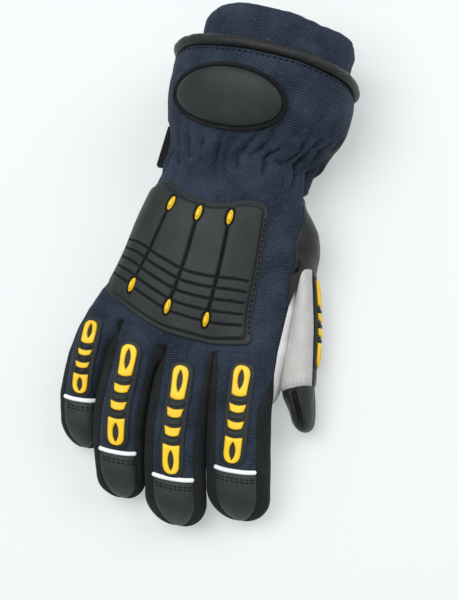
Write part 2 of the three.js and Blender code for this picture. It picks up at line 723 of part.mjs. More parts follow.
for (const guard of guards) {
  const half = guard.width / 2;
  const along = (share) => mix(guard.from, guard.to, share);
  guard.place = (across, from_tip, height) => {
    const share = (from_tip - guard.from) / (guard.to - guard.from);
    return guard.surface(across + mix(guard.offset_from, guard.offset_to, share), from_tip, height);
  };
  const reach = half + guard_margin;
  const rounding = [0, 0.5].map((share) => ({
    width: reach * Math.sqrt(1 - (1 - share) ** 2 * 0.9),
    inset: (reach - guard_margin) * share,
  }));
  const base_rows = [
    ...rounding.map(({ width, inset }) => ({ width, along: along(0) + guard_margin - inset })),
    ...[0.18, 0.5, 0.82].map((share) => ({ width: reach, along: along(share) })),
    ...[...rounding].reverse().map(({ width, inset }) => ({
      width,
      along: along(1) - guard_margin + inset,
    })),
  ];
  const ring_loops = (island) => {
    const middle = (along(island.from) + along(island.to)) / 2;
    const half_length = (along(island.from) - along(island.to)) / 2;
    return (share) => oval(0, middle, half * share, half_length * share, 8);
  };
  const island_bar = (island, low) =>
    bar(guard.place, half, along(island.from), along(island.to), low, guard_island_height);
  const basePlace = (height) => (i, j) =>
    guard.place((i - 1) * base_rows[j].width, base_rows[j].along, height);
  let base = slab(2, base_rows.length - 1, basePlace(root_depth), basePlace(guard_base_height));
  for (const island of guard_islands) {
    const is_ring = island.name === 'guard_head' || island.name === 'guard_tail';
    if (island.yellow) {
      const low = guard_base_height + seat_gap;
      const loops = ring_loops(island);
      const body = is_ring
        ? band(guard.place, loops(1), loops(guard_lens_share + 0.06), low, guard_island_height)
        : island_bar(island, low);
      add(`${island.name}_${guard.name}`, body, materials.yellow_rubber);
      if (is_ring) {
        const lens = loops(guard_lens_share - 0.04);
        base = base.add(patch(guard.place, lens, 0.5, guard_island_height, 0, [1]));
      }
    } else {
      base = base.add(island_bar(island, 0.5));
    }
  }
  add(`guard_base_${guard.name}`, biggest(base.subtract(seat)), materials.black_rubber);
}

// The plate on the back of the hand. Its columns run from the wrist to the knuckles: each row of
// the table is a line, by its angle round the hand at the wrist and at the knuckles.
const plate_flange = 1.4;
const plate_height = 4;
const plate_groove = 1.8; // height of a groove's floor
const plate_columns = [
  { wrist: 48, knuckle: 39, height: plate_flange },
  { wrist: 52, knuckle: 43, height: plate_flange },
  { wrist: 53.5, knuckle: 44.5, height: plate_height },
  { wrist: 74.8, knuckle: 74.2, height: plate_height },
  { wrist: 76, knuckle: 75.4, height: plate_groove },
  { wrist: 77.2, knuckle: 76.6, height: plate_height },
  { wrist: 91.1, knuckle: 92.5, height: plate_height },
  { wrist: 92.2, knuckle: 93.6, height: plate_groove },
  { wrist: 93.3, knuckle: 94.7, height: plate_height },
  { wrist: 109.2, knuckle: 116, height: plate_height },
  { wrist: 110.3, knuckle: 117.2, height: plate_groove },
  { wrist: 111.4, knuckle: 118.4, height: plate_height },
  { wrist: 128, knuckle: 134, height: plate_height },
  { wrist: 146, knuckle: 152, height: plate_height },
  { wrist: 154, knuckle: 160, height: plate_height },
  { wrist: 157, knuckle: 163, height: plate_flange },
];
// Its rows run across the hand, as shares of the way from the knuckles to the wrist.
const cross_grooves = [0.13, 0.21, 0.29, 0.38, 0.47];
const groove_half = 0.013;
const plate_rows = [
  { share: 0, height: plate_flange },
  { share: 0.05, height: plate_flange },
  { share: 0.07, height: plate_height },
  ...cross_grooves.flatMap((share) => [
    { share: share - groove_half, height: plate_height },
    { share, height: plate_groove },
    { share: share + groove_half, height: plate_height },
  ]),
  { share: 0.68, height: plate_height },
  { share: 0.93, height: plate_height },
  { share: 0.955, height: plate_flange },
  { share: 1, height: plate_flange },
];
// Where the plate's two ends lie in Y, by the angle round the hand.
const plate_ends = [
  { angle: 38, knuckle: -36, wrist: 27 },
  { angle: 49, knuckle: -39.8, wrist: 30.5 },
  { angle: 57, knuckle: -40.4, wrist: 33 },
  { angle: 75, knuckle: -40.2, wrist: 33.6 },
  { angle: 90, knuckle: -37.8, wrist: 34 },
  { angle: 107, knuckle: -31, wrist: 36 },
  { angle: 130, knuckle: -24, wrist: 39 },
  { angle: 165, knuckle: -15.5, wrist: 38 },
];
const platePlace = (column_row, row, height) => {
  const angle = mix(column_row.knuckle, column_row.wrist, row.share);
  const knuckle = column(plate_ends, 'knuckle', angle, 'angle');
  const wrist = column(plate_ends, 'wrist', angle, 'angle');
  return sectionPoint(handSection(mix(knuckle, wrist, row.share)), radians(angle), 0, height);
};
const plateTop = (i, j) => {
  const height = Math.min(plate_columns[i].height, plate_rows[j].height);
  return platePlace(plate_columns[i], plate_rows[j], height);
};
const plateUnder = (i, j) => platePlace(plate_columns[i], plate_rows[j], root_depth);
const plate = slab(plate_columns.length - 1, plate_rows.length - 1, plateUnder, plateTop);
add('hand_plate', biggest(plate.subtract(seat)), materials.black_rubber);

// The yellow ovals at the ends of the plate's long grooves: angle round the hand, and Y.
const plate_ovals = [
  { name: 'plate_oval_1', angle: 110.3, y: 29.5, lean: 0.35 },
  { name: 'plate_oval_2', angle: 92.3, y: 26, lean: 0.2 },
  { name: 'plate_oval_3', angle: 76, y: 25.2, lean: 0.1 },
  { name: 'plate_oval_4', angle: 118, y: -15.5, lean: 0.35 },
  { name: 'plate_oval_5', angle: 94, y: -26.5, lean: 0.2 },
  { name: 'plate_oval_6', angle: 75.5, y: -31, lean: 0.1 },
];
const oval_half_width = 1.8;
const oval_half_length = 4.4;
const oval_thickness = 0.9;
const handPlace = (x, y, height) => {
  const level = handSection(y);
  const section = handSection(y - level.slant * (x - level.x));
  const angle = Math.acos(angleShare((x - section.x) / section.half_width, section.power));
  return sectionPoint(section, angle, 0, height);
};
for (const row of plate_ovals) {
  const centre = sectionPoint(handSection(row.y), radians(row.angle));
  const outline = oval(0, 0, oval_half_width, oval_half_length, 8).map(([across, along]) => [
    centre.x + across + row.lean * along,
    row.y + along,
  ]);
  const low = plate_height + seat_gap;
  const body = patch(handPlace, outline, low, low + oval_thickness, 0, [1]);
  add(row.name, body, materials.yellow_rubber);
}

// The oval badge on the gauntlet: a domed pad inside a raised border.
const badge = { x: 6.4, y: 91.6, half_width: 32, half_length: 17.6 };
const badge_border_width = 3;
const badge_border_height = 2;
const pad_edge_height = 2.2;
const pad_crown = 1.8;
const badge_sides = 18;
const badgeLoop = (inset) =>
  oval(badge.x, badge.y, badge.half_width - inset, badge.half_length - inset, badge_sides);
const border_inside = badgeLoop(badge_border_width);
const badge_border = band(handPlace, badgeLoop(0), border_inside, root_depth, badge_border_height);
add('badge_border', biggest(badge_border.subtract(seat)), materials.black_fabric);
const pad_edge = badgeLoop(badge_border_width + seat_gap);
const pad_loops = [1, 0.75, 0.4];
const pad = patch(handPlace, pad_edge, root_depth, pad_edge_height, pad_crown, pad_loops);
add('badge_pad', biggest(pad.subtract(seat)), materials.black_rubber);

// The reflective piping along each finger's cap seam.
const piping_radius = 0.95;
const piping_sink = 0.6; // how deep it starts in the surface, before it is trimmed
for (const finger of fingers) {
  const steps = 7;
  const lap = 2; // degrees that the piping runs past the seams
  const rings = Array.from({ length: steps + 1 }, (_, i) => {
    const angle = radians(mix(finger.seams[0] - lap, finger.seams[1] + lap, i / steps));
    const bow = cap_line_bow * (1 - (2 * (i / steps) - 1) ** 2);
    const section = shaft_section(finger)(cap_line(finger) - bow);
    return Array.from({ length: cord_sides }, (_unused, k) => {
      const turn = (k / cord_sides) * 2 * Math.PI;
      const height = piping_radius * (1 + Math.cos(turn)) - piping_sink;
      const point = sectionPoint(section, angle, 0, height);
      point.y += piping_radius * Math.sin(turn);
      return point;
    });
  });
  add(`piping_${finger.name}`, biggest(skin(rings).subtract(seat)), materials.reflective);
}

// The webbing loop in the little finger side of the wrist.
const tab = { y_low: 55, y_high: 80, x_low: -37.8, x_high: -35, x_root: -24, z: 37, thickness: 2.2 };
const tab_block = block(
  [
    [tab.x_root, tab.y_low],
    [tab.x_root, tab.y_high],
    [tab.x_high, tab.y_high],
    [tab.x_low, tab.y_low + 1.2],
    [tab.x_low + 0.9, tab.y_low],
  ],
  tab.z,
  tab.z + tab.thickness,
);
add('side_tab', biggest(tab_block.subtract(seat)), materials.black_fabric);

// The glove's origin is the middle of its footprint, on the surface that it lies on.
const bounds = new THREE.Box3().setFromObject(glove);
const footprint_middle = bounds.getCenter(new THREE.Vector3());
glove.position.set(-footprint_middle.x, -footprint_middle.y, -bounds.min.z);

export default glove;
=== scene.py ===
"""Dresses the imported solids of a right-hand rescue glove with sewn panels, moulded guards and a knit cuff.

Sizes are in millimetres and angles in degrees until a mesh is made. The fingers point to -Y, the thumb is
on the +X side and the back of the hand faces +Z.
"""

import bmesh
import bpy
import numpy as np
from mathutils import Matrix, Vector


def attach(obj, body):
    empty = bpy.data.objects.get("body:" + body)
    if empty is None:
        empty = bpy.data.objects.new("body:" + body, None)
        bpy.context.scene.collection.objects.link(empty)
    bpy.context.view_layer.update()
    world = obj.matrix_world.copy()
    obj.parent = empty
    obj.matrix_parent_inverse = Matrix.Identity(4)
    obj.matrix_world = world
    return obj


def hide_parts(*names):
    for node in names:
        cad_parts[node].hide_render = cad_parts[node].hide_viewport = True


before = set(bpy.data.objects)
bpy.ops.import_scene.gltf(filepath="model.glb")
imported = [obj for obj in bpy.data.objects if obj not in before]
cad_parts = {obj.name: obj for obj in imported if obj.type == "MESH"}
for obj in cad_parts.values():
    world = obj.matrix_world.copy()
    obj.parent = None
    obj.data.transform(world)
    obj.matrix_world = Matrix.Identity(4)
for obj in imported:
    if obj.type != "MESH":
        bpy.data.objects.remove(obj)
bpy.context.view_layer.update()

MM = 0.001
TURN = 2 * np.pi
TINY = 1e-9
# From the tables' zero point to the part's.
TABLE_TO_PART = np.array([-2.044, -0.970, 0.0])


# Tables of the glove's form

def table(names, rows):
    """Rows of numbers as a dictionary of named columns."""
    return dict(zip(names.split(), np.array(rows, float).T))


# The superellipses' powers, the length of a fingertip's dome, the rounding between a finger and the hand,
# and the thickness of cloth and leather.
HAND_POWER = 2.4
FINGER_POWER = 2.3
DOME = 16.0
WEB = 6.0
WALL = 2.0
# Along the glove: where the hand is closed in front of the knuckles, the gauntlet's edge, and the seam
# between the palm's leather and the gauntlet's underside.
HAND_FRONT = -58.0
RIM_Y = 120.0
WRIST_SEAM_Y = 50.0

# Hand and gauntlet: the edges of the section at each Y, and the Y that the section gains for each X.
HAND_ROWS = table("y left right bottom top slant", [
    [-58, -45, 40, 17, 39, -0.05],
    [-50, -58, 46.5, 12, 44, -0.08],
    [-38, -63, 49.5, 7, 49, -0.05],
    [-20, -55, 50.5, 3, 53, 0],
    [0, -48.5, 51, -1.5, 56, 0],
    [20, -44, 51, -3, 59, 0],
    [38, -38.5, 50, -2, 60, 0],
    [49, -34, 50, 1, 60, 0],
    [58, -30, 51.5, 2, 61.5, 0],
    [68, -29, 56, 2, 65, -0.02],
    [79, -34, 63.5, 1.5, 72, -0.06],
    [92, -36.2, 71, 1.5, 79, -0.11],
    [106, -34.6, 73.5, 1.5, 83, -0.15],
    [120, -32.4, 73, 1.5, 84, -0.158],
])
# The thumb's edges.
THUMB_ROWS = table("y left right bottom top", [
    [-86, 65.0, 76.4, 4, 21],
    [-78, 62.8, 75.8, 2, 23.5],
    [-73, 60.6, 75.4, 1, 26],
    [-68, 57.4, 74.8, 0.5, 27.5],
    [-64, 53.6, 74.2, 0, 28.5],
    [-60, 53.0, 73.4, 0, 29],
    [-54, 53.3, 72.8, 0, 29.5],
    [-45, 53.8, 71.8, 0.5, 30.5],
    [-25, 54.8, 69.2, 1, 33],
    [-5, 55.6, 65.6, 2, 36],
    [5, 52, 64, 3, 39],
    [10, 44, 63.6, 3, 41],
    [18, 30, 65, 4.5, 44],
    [28, 27, 63, 6, 46],
    [38, 26, 57, 9, 46],
    [47, 26, 48, 17, 42],
])
THUMB_TIP = -85.0
THUMB_DOME = 7.0
THUMB_ROOT = 52.0
# The fingers: Y of root and tip, X and Z of the centre line at root, middle and tip, half width and half
# height, length of the leather cap, angles of the back's two seams, and the bend to +X at the knuckle.
FINGER_ROWS = {
    "index": dict(root=-28, tip=-141, x=(29.5, 35.8, 42.5), z=(33, 28, 12), width=18.2, height=13.4,
                  cap=26.8, seams=(49, 130), lean=0.0),
    "middle": dict(root=-28, tip=-149.5, x=(-2, -1, 7), z=(34, 29, 12), width=17.5, height=13.6,
                   cap=25.6, seams=(41, 126), lean=3.0),
    "ring": dict(root=-27, tip=-139, x=(-31, -36, -29), z=(33, 28, 12), width=15.4, height=13.2,
                 cap=25, seams=(34, 122), lean=3.4),
    "pinky": dict(root=-24, tip=-113.5, x=(-50, -61.5, -57), z=(28, 23, 11), width=13.2, height=12,
                  cap=26.6, seams=(38, 128), lean=1.0),
}
# How far below level the palm leather's seams run along the fingers.
PALM_SEAM = 35.0
# Angles round the hand of the seams of the back and of the palm's leather.
SEAM_ROWS = table("y back_right back_left palm_left palm_right", [
    [-60, 20, 155, 212, 12],
    [-40, 10, 166, 200, 7.8],
    [-15, 9, 183, 183, 7],
    [5, 17, 183.6, 183.6, 14.5],
    [13, 21.5, 183.8, 183.8, 12],
    [20, 22, 184, 184, 2],
    [34, 16, 184.5, 184.5, -9],
    [46, -2, 185, 185, -13],
    [54, -8, 185, 185, -14],
    [70, -5, 185, 185, -14],
    [86, -3, 186, 185, -14],
    [104, -8, 187, 185, -14],
    [140, -14, 188, 185, -14],
])
# The full edge of the palm leather between thumb and index finger.
WEB_ROWS = table("y left right bottom top", [
    [-76, 36, 51.5, 6, 30],
    [-62, 35, 54.6, 4, 34],
    [-50, 34, 55.6, 3, 36.5],
    [-35, 34, 56.4, 2, 38],
    [-18, 34, 57.6, 2, 39],
    [0, 34, 58.6, 2, 41],
    [14, 32, 58.0, 4, 42],
])
# Where the slits between the fingers end, on the back and on the palm side, from the index side.
BACK_CROTCHES = table("angle y", [[67.8, -49.8], [93.6, -50.2], [121.0, -39.2]])
PALM_CROTCHES = table("angle y", [[292.0, -54.0], [266.0, -54.0], [240.0, -46.0]])


def softened(at, values, spread=5.0):
    """A smooth curve through a table: its straight-line chart, averaged with a bell of that spread."""
    at, values = np.array(at, float), np.array(values, float)
    fine = np.arange(at[0] - 8 * spread, at[-1] + 8 * spread, 0.5)
    chart = np.interp(fine, at, values)
    chart += np.minimum(fine - at[0], 0) * (values[1] - values[0]) / (at[1] - at[0])
    chart += np.maximum(fine - at[-1], 0) * (values[-1] - values[-2]) / (at[-1] - at[-2])
    bell = np.exp(-0.5 * (np.arange(-4 * spread, 4 * spread + 0.1, 0.5) / spread) ** 2)
    smooth = np.convolve(chart, bell / bell.sum(), mode="same")
    kept = (fine > at[0] - 3 * spread) & (fine < at[-1] + 3 * spread)
    return lambda y: np.interp(y, fine[kept], smooth[kept])


def mix(a, b, t):
    """a where t is 0, b where t is 1, and in proportion between."""
    return a + (b - a) * t


def ease(t):
    """0 below 0, 1 above 1, and a smooth step between."""
    t = np.clip(t, 0, 1)
    return t * t * (3 - 2 * t)


def smooth_min(a, b, width):
    """The lower of two fields, rounded where they meet over that width."""
    h = np.clip(0.5 + 0.5 * (b - a) / width, 0, 1)
    return mix(b, a, h) - width * h * (1 - h)


def smooth_max(a, b, width):
    """The higher of two fields, rounded in the same way."""
    return -smooth_min(-a, -b, width)


def signed_power(value, power):
    """A power of the value's size, with the value's sign."""
    return np.sign(value) * np.abs(value) ** power


class Limb:
    """The hand, a finger or the thumb: superellipses across Y about a centre that wanders with Y, with a
    domed end where tip is given. All its columns are smooth functions of Y."""

    def __init__(self, y, x, z, width, height, power, slant=None, tip=None, dome=DOME, root=None,
                 spread=5.0):
        self.x, self.z = softened(y, x, spread), softened(y, z, spread)
        self.width, self.height = softened(y, width, spread), softened(y, height, spread)
        self.slant = softened(y, slant, spread) if slant is not None else None
        self.power, self.tip, self.dome, self.root = power, tip, dome, root

    def distance(self, points):
        """Distance outside the limb's skin, to first order: the superellipse norm less one, over its slope.
        Over the dome the norm is joined at right angles by the share of the dome's length that is past. A
        slanting section's own Y is found in two passes."""
        x, y, z = np.moveaxis(points, -1, 0)
        at = y
        if self.slant is not None:
            for _ in range(2):
                at = y - self.slant(at) * (x - self.x(at))
        across = self.width(at)
        up = self.height(at)
        u = np.abs(x - self.x(at)) / across
        w = np.abs(z - self.z(at)) / up
        norm = (u ** self.power + w ** self.power + TINY) ** (1 / self.power)
        slope = np.hypot((u / norm) ** (self.power - 1) / across, (w / norm) ** (self.power - 1) / up)
        if self.tip is not None:
            past = np.maximum(self.tip + self.dome - at, 0) / self.dome
            whole = np.hypot(norm, past)
            slope = np.hypot(slope * norm / whole, past / whole / self.dome)
            norm = whole
        away = (norm - 1) / slope
        if self.root is not None:
            away = smooth_max(away, y - self.root, WEB)
        return away

    def centre(self, y):
        """The centre line's place at Y."""
        return np.stack([self.x(y), y + 0 * self.x(y), self.z(y)], -1)

    def arm(self, y, degrees, slant=None):
        """From the centre to the plain section's skin, at an angle from +X towards +Z."""
        turn = np.radians(degrees)
        dx = self.width(y) * signed_power(np.cos(turn), 2 / self.power)
        dz = self.height(y) * signed_power(np.sin(turn), 2 / self.power)
        dy = 0 * dx if slant is None else slant * dx
        return np.stack([dx, dy, dz], -1)

    def angle_of(self, points):
        """The angle of the section's arm that points at each point, from 0 to 360."""
        y = points[..., 1]
        u = (points[..., 0] - self.x(y)) / self.width(y)
        w = (points[..., 2] - self.z(y)) / self.height(y)
        turn = np.arctan2(signed_power(w, self.power / 2), signed_power(u, self.power / 2))
        return np.degrees(turn) % 360

    def rays(self, from_tip, degrees):
        """Origins and arms by the distance from the tip. Over the dome the origin stays at its base, and
        the arm swings from the section's plane towards the tip."""
        swing = np.radians(90 * np.clip(1 - from_tip / self.dome, 0, 1))[..., None]
        y = self.tip + np.maximum(from_tip, self.dome)
        origin = self.centre(y)
        ahead = self.centre(self.tip + 0 * y) - self.centre(self.tip + self.dome + 0 * y)
        return origin, np.cos(swing) * self.arm(y, degrees) + np.sin(swing) * ahead


def halves(rows):
    """Centre and half size from the columns of edges."""
    return {
        "x": (rows["left"] + rows["right"]) / 2,
        "z": (rows["bottom"] + rows["top"]) / 2,
        "width": (rows["right"] - rows["left"]) / 2,
        "height": (rows["top"] - rows["bottom"]) / 2,
    }


# How far a finger goes on inside the hand, how full its section is there, over what length it fills out,
# and where along the finger the knuckle's bend has its middle, and its width.
ROOT_OVERLAP = 6
ROOT_FULLNESS = 0.74
FILL_LENGTH = 22
KNUCKLE_SHARE = 0.32
KNUCKLE_WIDTH = 0.2
LIMB_SPREAD = 3.0


def finger_limb(row):
    """Centre line: the parabola through root, middle and tip, moved to +X by a bell about the knuckle. The
    section fills out in proportion over its first millimetres."""
    y = np.arange(row["tip"] - 4, row["root"] + ROOT_OVERLAP, 2.0)
    t = (row["root"] - y) / (row["root"] - row["tip"])

    def through(values):
        """The parabola through three values, at shares 0, a half and 1."""
        start, middle, end = values
        return start * (2 * t - 1) * (t - 1) + middle * 4 * t * (1 - t) + end * t * (2 * t - 1)

    full = mix(ROOT_FULLNESS, 1, np.clip((row["root"] - y) / FILL_LENGTH, 0, 1))
    bell = row["lean"] * np.exp(-((t - KNUCKLE_SHARE) / KNUCKLE_WIDTH) ** 2)
    return Limb(y, through(row["x"]) + bell, through(row["z"]), row["width"] * full, row["height"] * full,
                FINGER_POWER, tip=row["tip"], root=row["root"] + ROOT_OVERLAP, spread=LIMB_SPREAD)


HAND = Limb(HAND_ROWS["y"], **halves(HAND_ROWS), power=HAND_POWER, slant=HAND_ROWS["slant"])
THUMB = Limb(THUMB_ROWS["y"], **halves(THUMB_ROWS), power=FINGER_POWER, tip=THUMB_TIP, dome=THUMB_DOME,
             root=THUMB_ROOT, spread=LIMB_SPREAD)
FINGERS = {name: finger_limb(row) for name, row in FINGER_ROWS.items()}
PALM_EDGE = Limb(WEB_ROWS["y"], **halves(WEB_ROWS), power=2.0, spread=LIMB_SPREAD)
FINGER_NAMES = ["index", "middle", "ring", "pinky"]
SEAM = {name: softened(SEAM_ROWS["y"], SEAM_ROWS[name], 4.0) for name in SEAM_ROWS if name != "y"}
# How far the gauntlet's edge lies below a straight cut, by the angle round the hand.
RIM_DROPS = table("angle drop", [
    [-40, 3.0], [0, 2.0], [18, 1.6], [37, 2.1], [51, 1.9], [63, 1.7], [74, 2.0], [81, 2.5], [89, 2.9],
    [97, 3.6], [106, 4.8], [124, 6.0], [139, 7.2], [160, 9.4], [180, 9.6], [200, 9.0], [270, 5.0], [320, 3.0],
    [360, 2.0], [400, 2.1],
])
rim_drop = softened(RIM_DROPS["angle"], RIM_DROPS["drop"], 4.0)
# The slant of the panels' rows of points.
row_slant = softened([-60, 52, 68, 79, 92, 106, 120], [0, 0, -0.02, -0.06, -0.11, -0.15, -0.158], 4.0)
# Roundings where the skin meets the floor and where two fingers meet.
FLOOR_ROUNDING = 1.5
SLIT_ROUNDING = 1.5
# Along the glove, the middle of the palm leather's full edge and half its length.
PALM_EDGE_MIDDLE = -28
PALM_EDGE_HALF = 46


def on_floor(away, points):
    """Cuts a skin off flat on the surface that the glove lies on."""
    return smooth_max(away, -points[..., 2], FLOOR_ROUNDING)


def hand_distance(points):
    """The hand's own skin with the full edge of the palm, closed in front of the knuckles."""
    y = points[..., 1]
    edge = smooth_max(PALM_EDGE.distance(points), np.abs(y - PALM_EDGE_MIDDLE) - PALM_EDGE_HALF, 8.0)
    return smooth_min(smooth_max(HAND.distance(points), HAND_FRONT - y, 4.0), edge, 4.0)


def body_distance(points):
    """Hand and fingers, each finger flowing into the hand, but not into its neighbour."""
    hand = hand_distance(points)
    limbs = [smooth_min(hand, FINGERS[name].distance(points), WEB) for name in FINGER_NAMES]
    return on_floor(np.minimum.reduce(limbs), points)


def crotch_point(crotches, k):
    """The hand's plain skin at the end of a slit."""
    y = crotches["y"][k]
    return HAND.centre(y) + HAND.arm(y, crotches["angle"][k])


# Over what length in front of a slit's end the line between two fingers bends to it.
SLIT_BEND = 25


def middle_line(k):
    """X halfway between one finger and the next, bent to pass through the end of their slit."""
    right, left = FINGERS[FINGER_NAMES[k]], FINGERS[FINGER_NAMES[k + 1]]
    end_x, end_y, _ = crotch_point(BACK_CROTCHES, k)

    def half_way(y):
        """X in the middle between the sides of the two fingers that face each other."""
        return (right.x(y) - right.width(y) + left.x(y) + left.width(y)) / 2

    return lambda y: half_way(y) + (end_x - half_way(end_y)) * ease(1 + (y - end_y) / SLIT_BEND)


MIDDLE_LINES = [middle_line(k) for k in range(3)]


def own_distance(name):
    """The skin that one finger's pieces follow: the hand flowing into that finger, on its own side of the
    middle lines."""
    limb, k = FINGERS[name], FINGER_NAMES.index(name)

    def distance(points):
        """Distance outside that skin."""
        x, y = points[..., 0], points[..., 1]
        away = smooth_min(hand_distance(points), limb.distance(points), WEB)
        if k > 0:
            away = smooth_max(away, x - MIDDLE_LINES[k - 1](y), SLIT_ROUNDING)
        if k < 3:
            away = smooth_max(away, MIDDLE_LINES[k](y) - x, SLIT_ROUNDING)
        return on_floor(away, points)

    return distance


OWN_SKIN = {name: own_distance(name) for name in FINGER_NAMES}


# The rounding between thumb and hand: its width beside the palm and at the wrist, and where along the
# glove it begins to grow and over what length.
THUMB_ROUNDING = 2.0
SADDLE_ROUNDING = 9.0
ROUNDING_START = -16
ROUNDING_RUN = 34
# How deep under the palm's leather the thumb's leather goes in.
TUCK = 2.2


def thumb_distance(points):
    """The thumb, flowing into the hand, more widely towards the wrist."""
    width = mix(THUMB_ROUNDING, SADDLE_ROUNDING, ease((points[..., 1] - ROUNDING_START) / ROUNDING_RUN))
    return on_floor(smooth_min(hand_distance(points), THUMB.distance(points), width), points)


def thumb_skin(points):
    """The skin that the thumb's leather follows: its root goes in just under the palm's leather."""
    hand = hand_distance(points) + TUCK
    return on_floor(smooth_min(hand, THUMB.distance(points), THUMB_ROUNDING), points)


def full_distance(points):
    """The whole glove's skin."""
    return np.minimum(body_distance(points), thumb_distance(points))


# How many even steps and how many halvings find the place where a ray leaves the skin.
CAST_STEPS = 18
CAST_HALVINGS = 9


def cast(origins, arms, distance, reach=1.6, start=0.45):
    """Where rays first leave the skin: origins plus arms times a share. Even steps bracket the way out,
    halving closes in on it, and a ray that stays inside ends at its reach."""
    steps = np.linspace(start, reach, CAST_STEPS)
    low = np.full(arms.shape[:-1], reach)
    high = np.full(arms.shape[:-1], reach)
    found = np.zeros(arms.shape[:-1], bool)
    for before, share in zip(steps[:-1], steps[1:]):
        out = (distance(origins + arms * share) > 0) & ~found
        low[out], high[out] = before, share
        found |= out
    for _ in range(CAST_HALVINGS):
        middle = (low + high) / 2
        out = distance(origins + arms * middle[..., None]) > 0
        high = np.where(out, middle, high)
        low = np.where(out, low, middle)
    return origins + arms * ((low + high) / 2)[..., None]


def outward(points, distance):
    """Unit normals: the slope of the distance field by short steps."""
    step = 0.2
    here = distance(points)
    slope = np.stack([distance(points + step * axis) - here for axis in np.eye(3)], -1)
    return slope / (np.linalg.norm(slope, axis=-1, keepdims=True) + TINY)


def on_hand(y, degrees, distance=body_distance, slant=None, reach=1.6):
    """Places on a skin by Y and the angle round the hand's centre line."""
    return cast(HAND.centre(y), HAND.arm(y, degrees, slant), distance, reach)


# Meshes from grids

def quads(index):
    """The faces between neighbours of a grid of vertex numbers."""
    return np.stack([index[:-1, :-1], index[:-1, 1:], index[1:, 1:], index[1:, :-1]], -1).reshape(-1, 4)


def grid_index(rows, columns, first=0):
    """The vertex numbers of a grid, row by row from the first."""
    return first + np.arange(rows * columns).reshape(rows, columns)


def face_normals(points, faces):
    """The cross product of each face's diagonals, which is as long as twice the face's area."""
    a, b, c, d = (points[faces[:, k]] for k in range(4))
    return np.cross(c - a, d - b)


class Shape:
    """Points, four-cornered faces, and for each point a flat place in millimetres and a share of how far
    down it lies in a groove or fold, which the materials darken as painted shade."""

    def __init__(self, points, faces, flat=None, groove_shade=None):
        self.points, self.faces = points, faces
        self.flat = np.zeros((len(points), 2)) if flat is None else flat
        self.groove_shade = np.zeros(len(points)) if groove_shade is None else groove_shade

    def facing(self, normals):
        """Turns all faces over if most of them look against the given normals."""
        if np.sum(face_normals(self.points, self.faces) * normals[self.faces[:, 0]]) < 0:
            self.faces = self.faces[:, ::-1]
        return self

    def outside_out(self):
        """Turns all faces over if the closed shape holds a negative volume."""
        a, b, c, d = (self.points[self.faces[:, k]] for k in range(4))
        volume = np.sum(a * np.cross(b, c)) + np.sum(a * np.cross(c, d))
        if volume < 0:
            self.faces = self.faces[:, ::-1]
        return self


def joined(shapes):
    """Several shapes as one, without welding them."""
    counts = np.cumsum([0] + [len(shape.points) for shape in shapes])
    return Shape(
        np.concatenate([shape.points for shape in shapes]),
        np.concatenate([shape.faces + first for shape, first in zip(shapes, counts)]),
        np.concatenate([shape.flat for shape in shapes]),
        np.concatenate([shape.groove_shade for shape in shapes]),
    )


def point_normals(shape):
    """Unit normals at the points: the sum of the faces about each place, so welded points agree."""
    spots, group = np.unique(np.round(shape.points, 3), axis=0, return_inverse=True)
    group = group.ravel()
    total = np.zeros((len(spots), 3))
    each = face_normals(shape.points, shape.faces)
    for k in range(4):
        np.add.at(total, group[shape.faces[:, k]], each)
    total /= np.linalg.norm(total, axis=1, keepdims=True) + TINY
    return total[group]


def tube(loops, ends=True):
    """A closed skin over loops of points (loops, around, 3): each loop is joined to the next, and a fan of
    thin faces to the middle closes both ends, or the last loop joins the first."""
    if ends:
        middle_first = np.broadcast_to(loops[0].mean(0), loops[0].shape)
        middle_last = np.broadcast_to(loops[-1].mean(0), loops[-1].shape)
        loops = np.concatenate([middle_first[None], loops, middle_last[None]])
    else:
        loops = np.concatenate([loops, loops[:1]])
    loops = np.concatenate([loops, loops[:, :1]], 1)
    return Shape(loops.reshape(-1, 3), quads(grid_index(*loops.shape[:2])))


def border_of(faces, count):
    """Whether each point lies on the border: on an edge that only one face has."""
    edges = np.sort(np.concatenate([faces[:, [k, (k + 1) % 4]] for k in range(4)]), axis=1)
    keys, times = np.unique(edges[:, 0] * count + edges[:, 1], return_counts=True)
    lone = keys[times == 1]
    on = np.zeros(count, bool)
    on[lone // count] = True
    on[lone % count] = True
    return on


def from_border(shape):
    """Straight distance from each point to the nearest point of the panel's border."""
    border = shape.points[border_of(shape.faces, len(shape.points))]
    away = np.empty(len(shape.points))
    for start in range(0, len(away), 2000):
        part = shape.points[start:start + 2000, None, :] - border[None, :, :]
        away[start:start + 2000] = np.sqrt(np.min(np.einsum("ijk,ijk->ij", part, part), axis=1))
    return away


# The number of sine waves in one field of ripples.
WAVES = 8


def ripples(points, size, seed):
    """Smooth noise, mostly from -1 to 1: the sum of sine waves about that long, with seeded directions and
    phases, over half their number."""
    random = np.random.default_rng(seed)
    total = np.zeros(points.shape[:-1])
    for _ in range(WAVES):
        wave = random.normal(size=3)
        wave *= TURN / size * random.uniform(0.6, 1.5) / np.linalg.norm(wave)
        total += np.sin(points @ wave + random.uniform(0, TURN))
    return total / (WAVES / 2)


def distances_along(path):
    """Distance gone at each point of a path, or of each column of a grid: the sum of the steps so far."""
    steps = np.linalg.norm(np.diff(path, axis=0), axis=-1)
    return np.concatenate([0 * steps[:1], np.cumsum(steps, axis=0)])


def flat_places(grid):
    """Distances on the grid in millimetres: along the middle row across, and along each column."""
    along = distances_along(grid)
    across = distances_along(grid[grid.shape[0] // 2])
    return np.stack([np.broadcast_to(across, along.shape), along], -1)


def grid_shape(grid):
    """A grid of points (rows, columns, 3) as a shape, with its distances in millimetres."""
    return Shape(grid.reshape(-1, 3), quads(grid_index(*grid.shape[:2])), flat_places(grid).reshape(-1, 2))


# Points closer than this, in metres, become one.
WELD = 2e-6


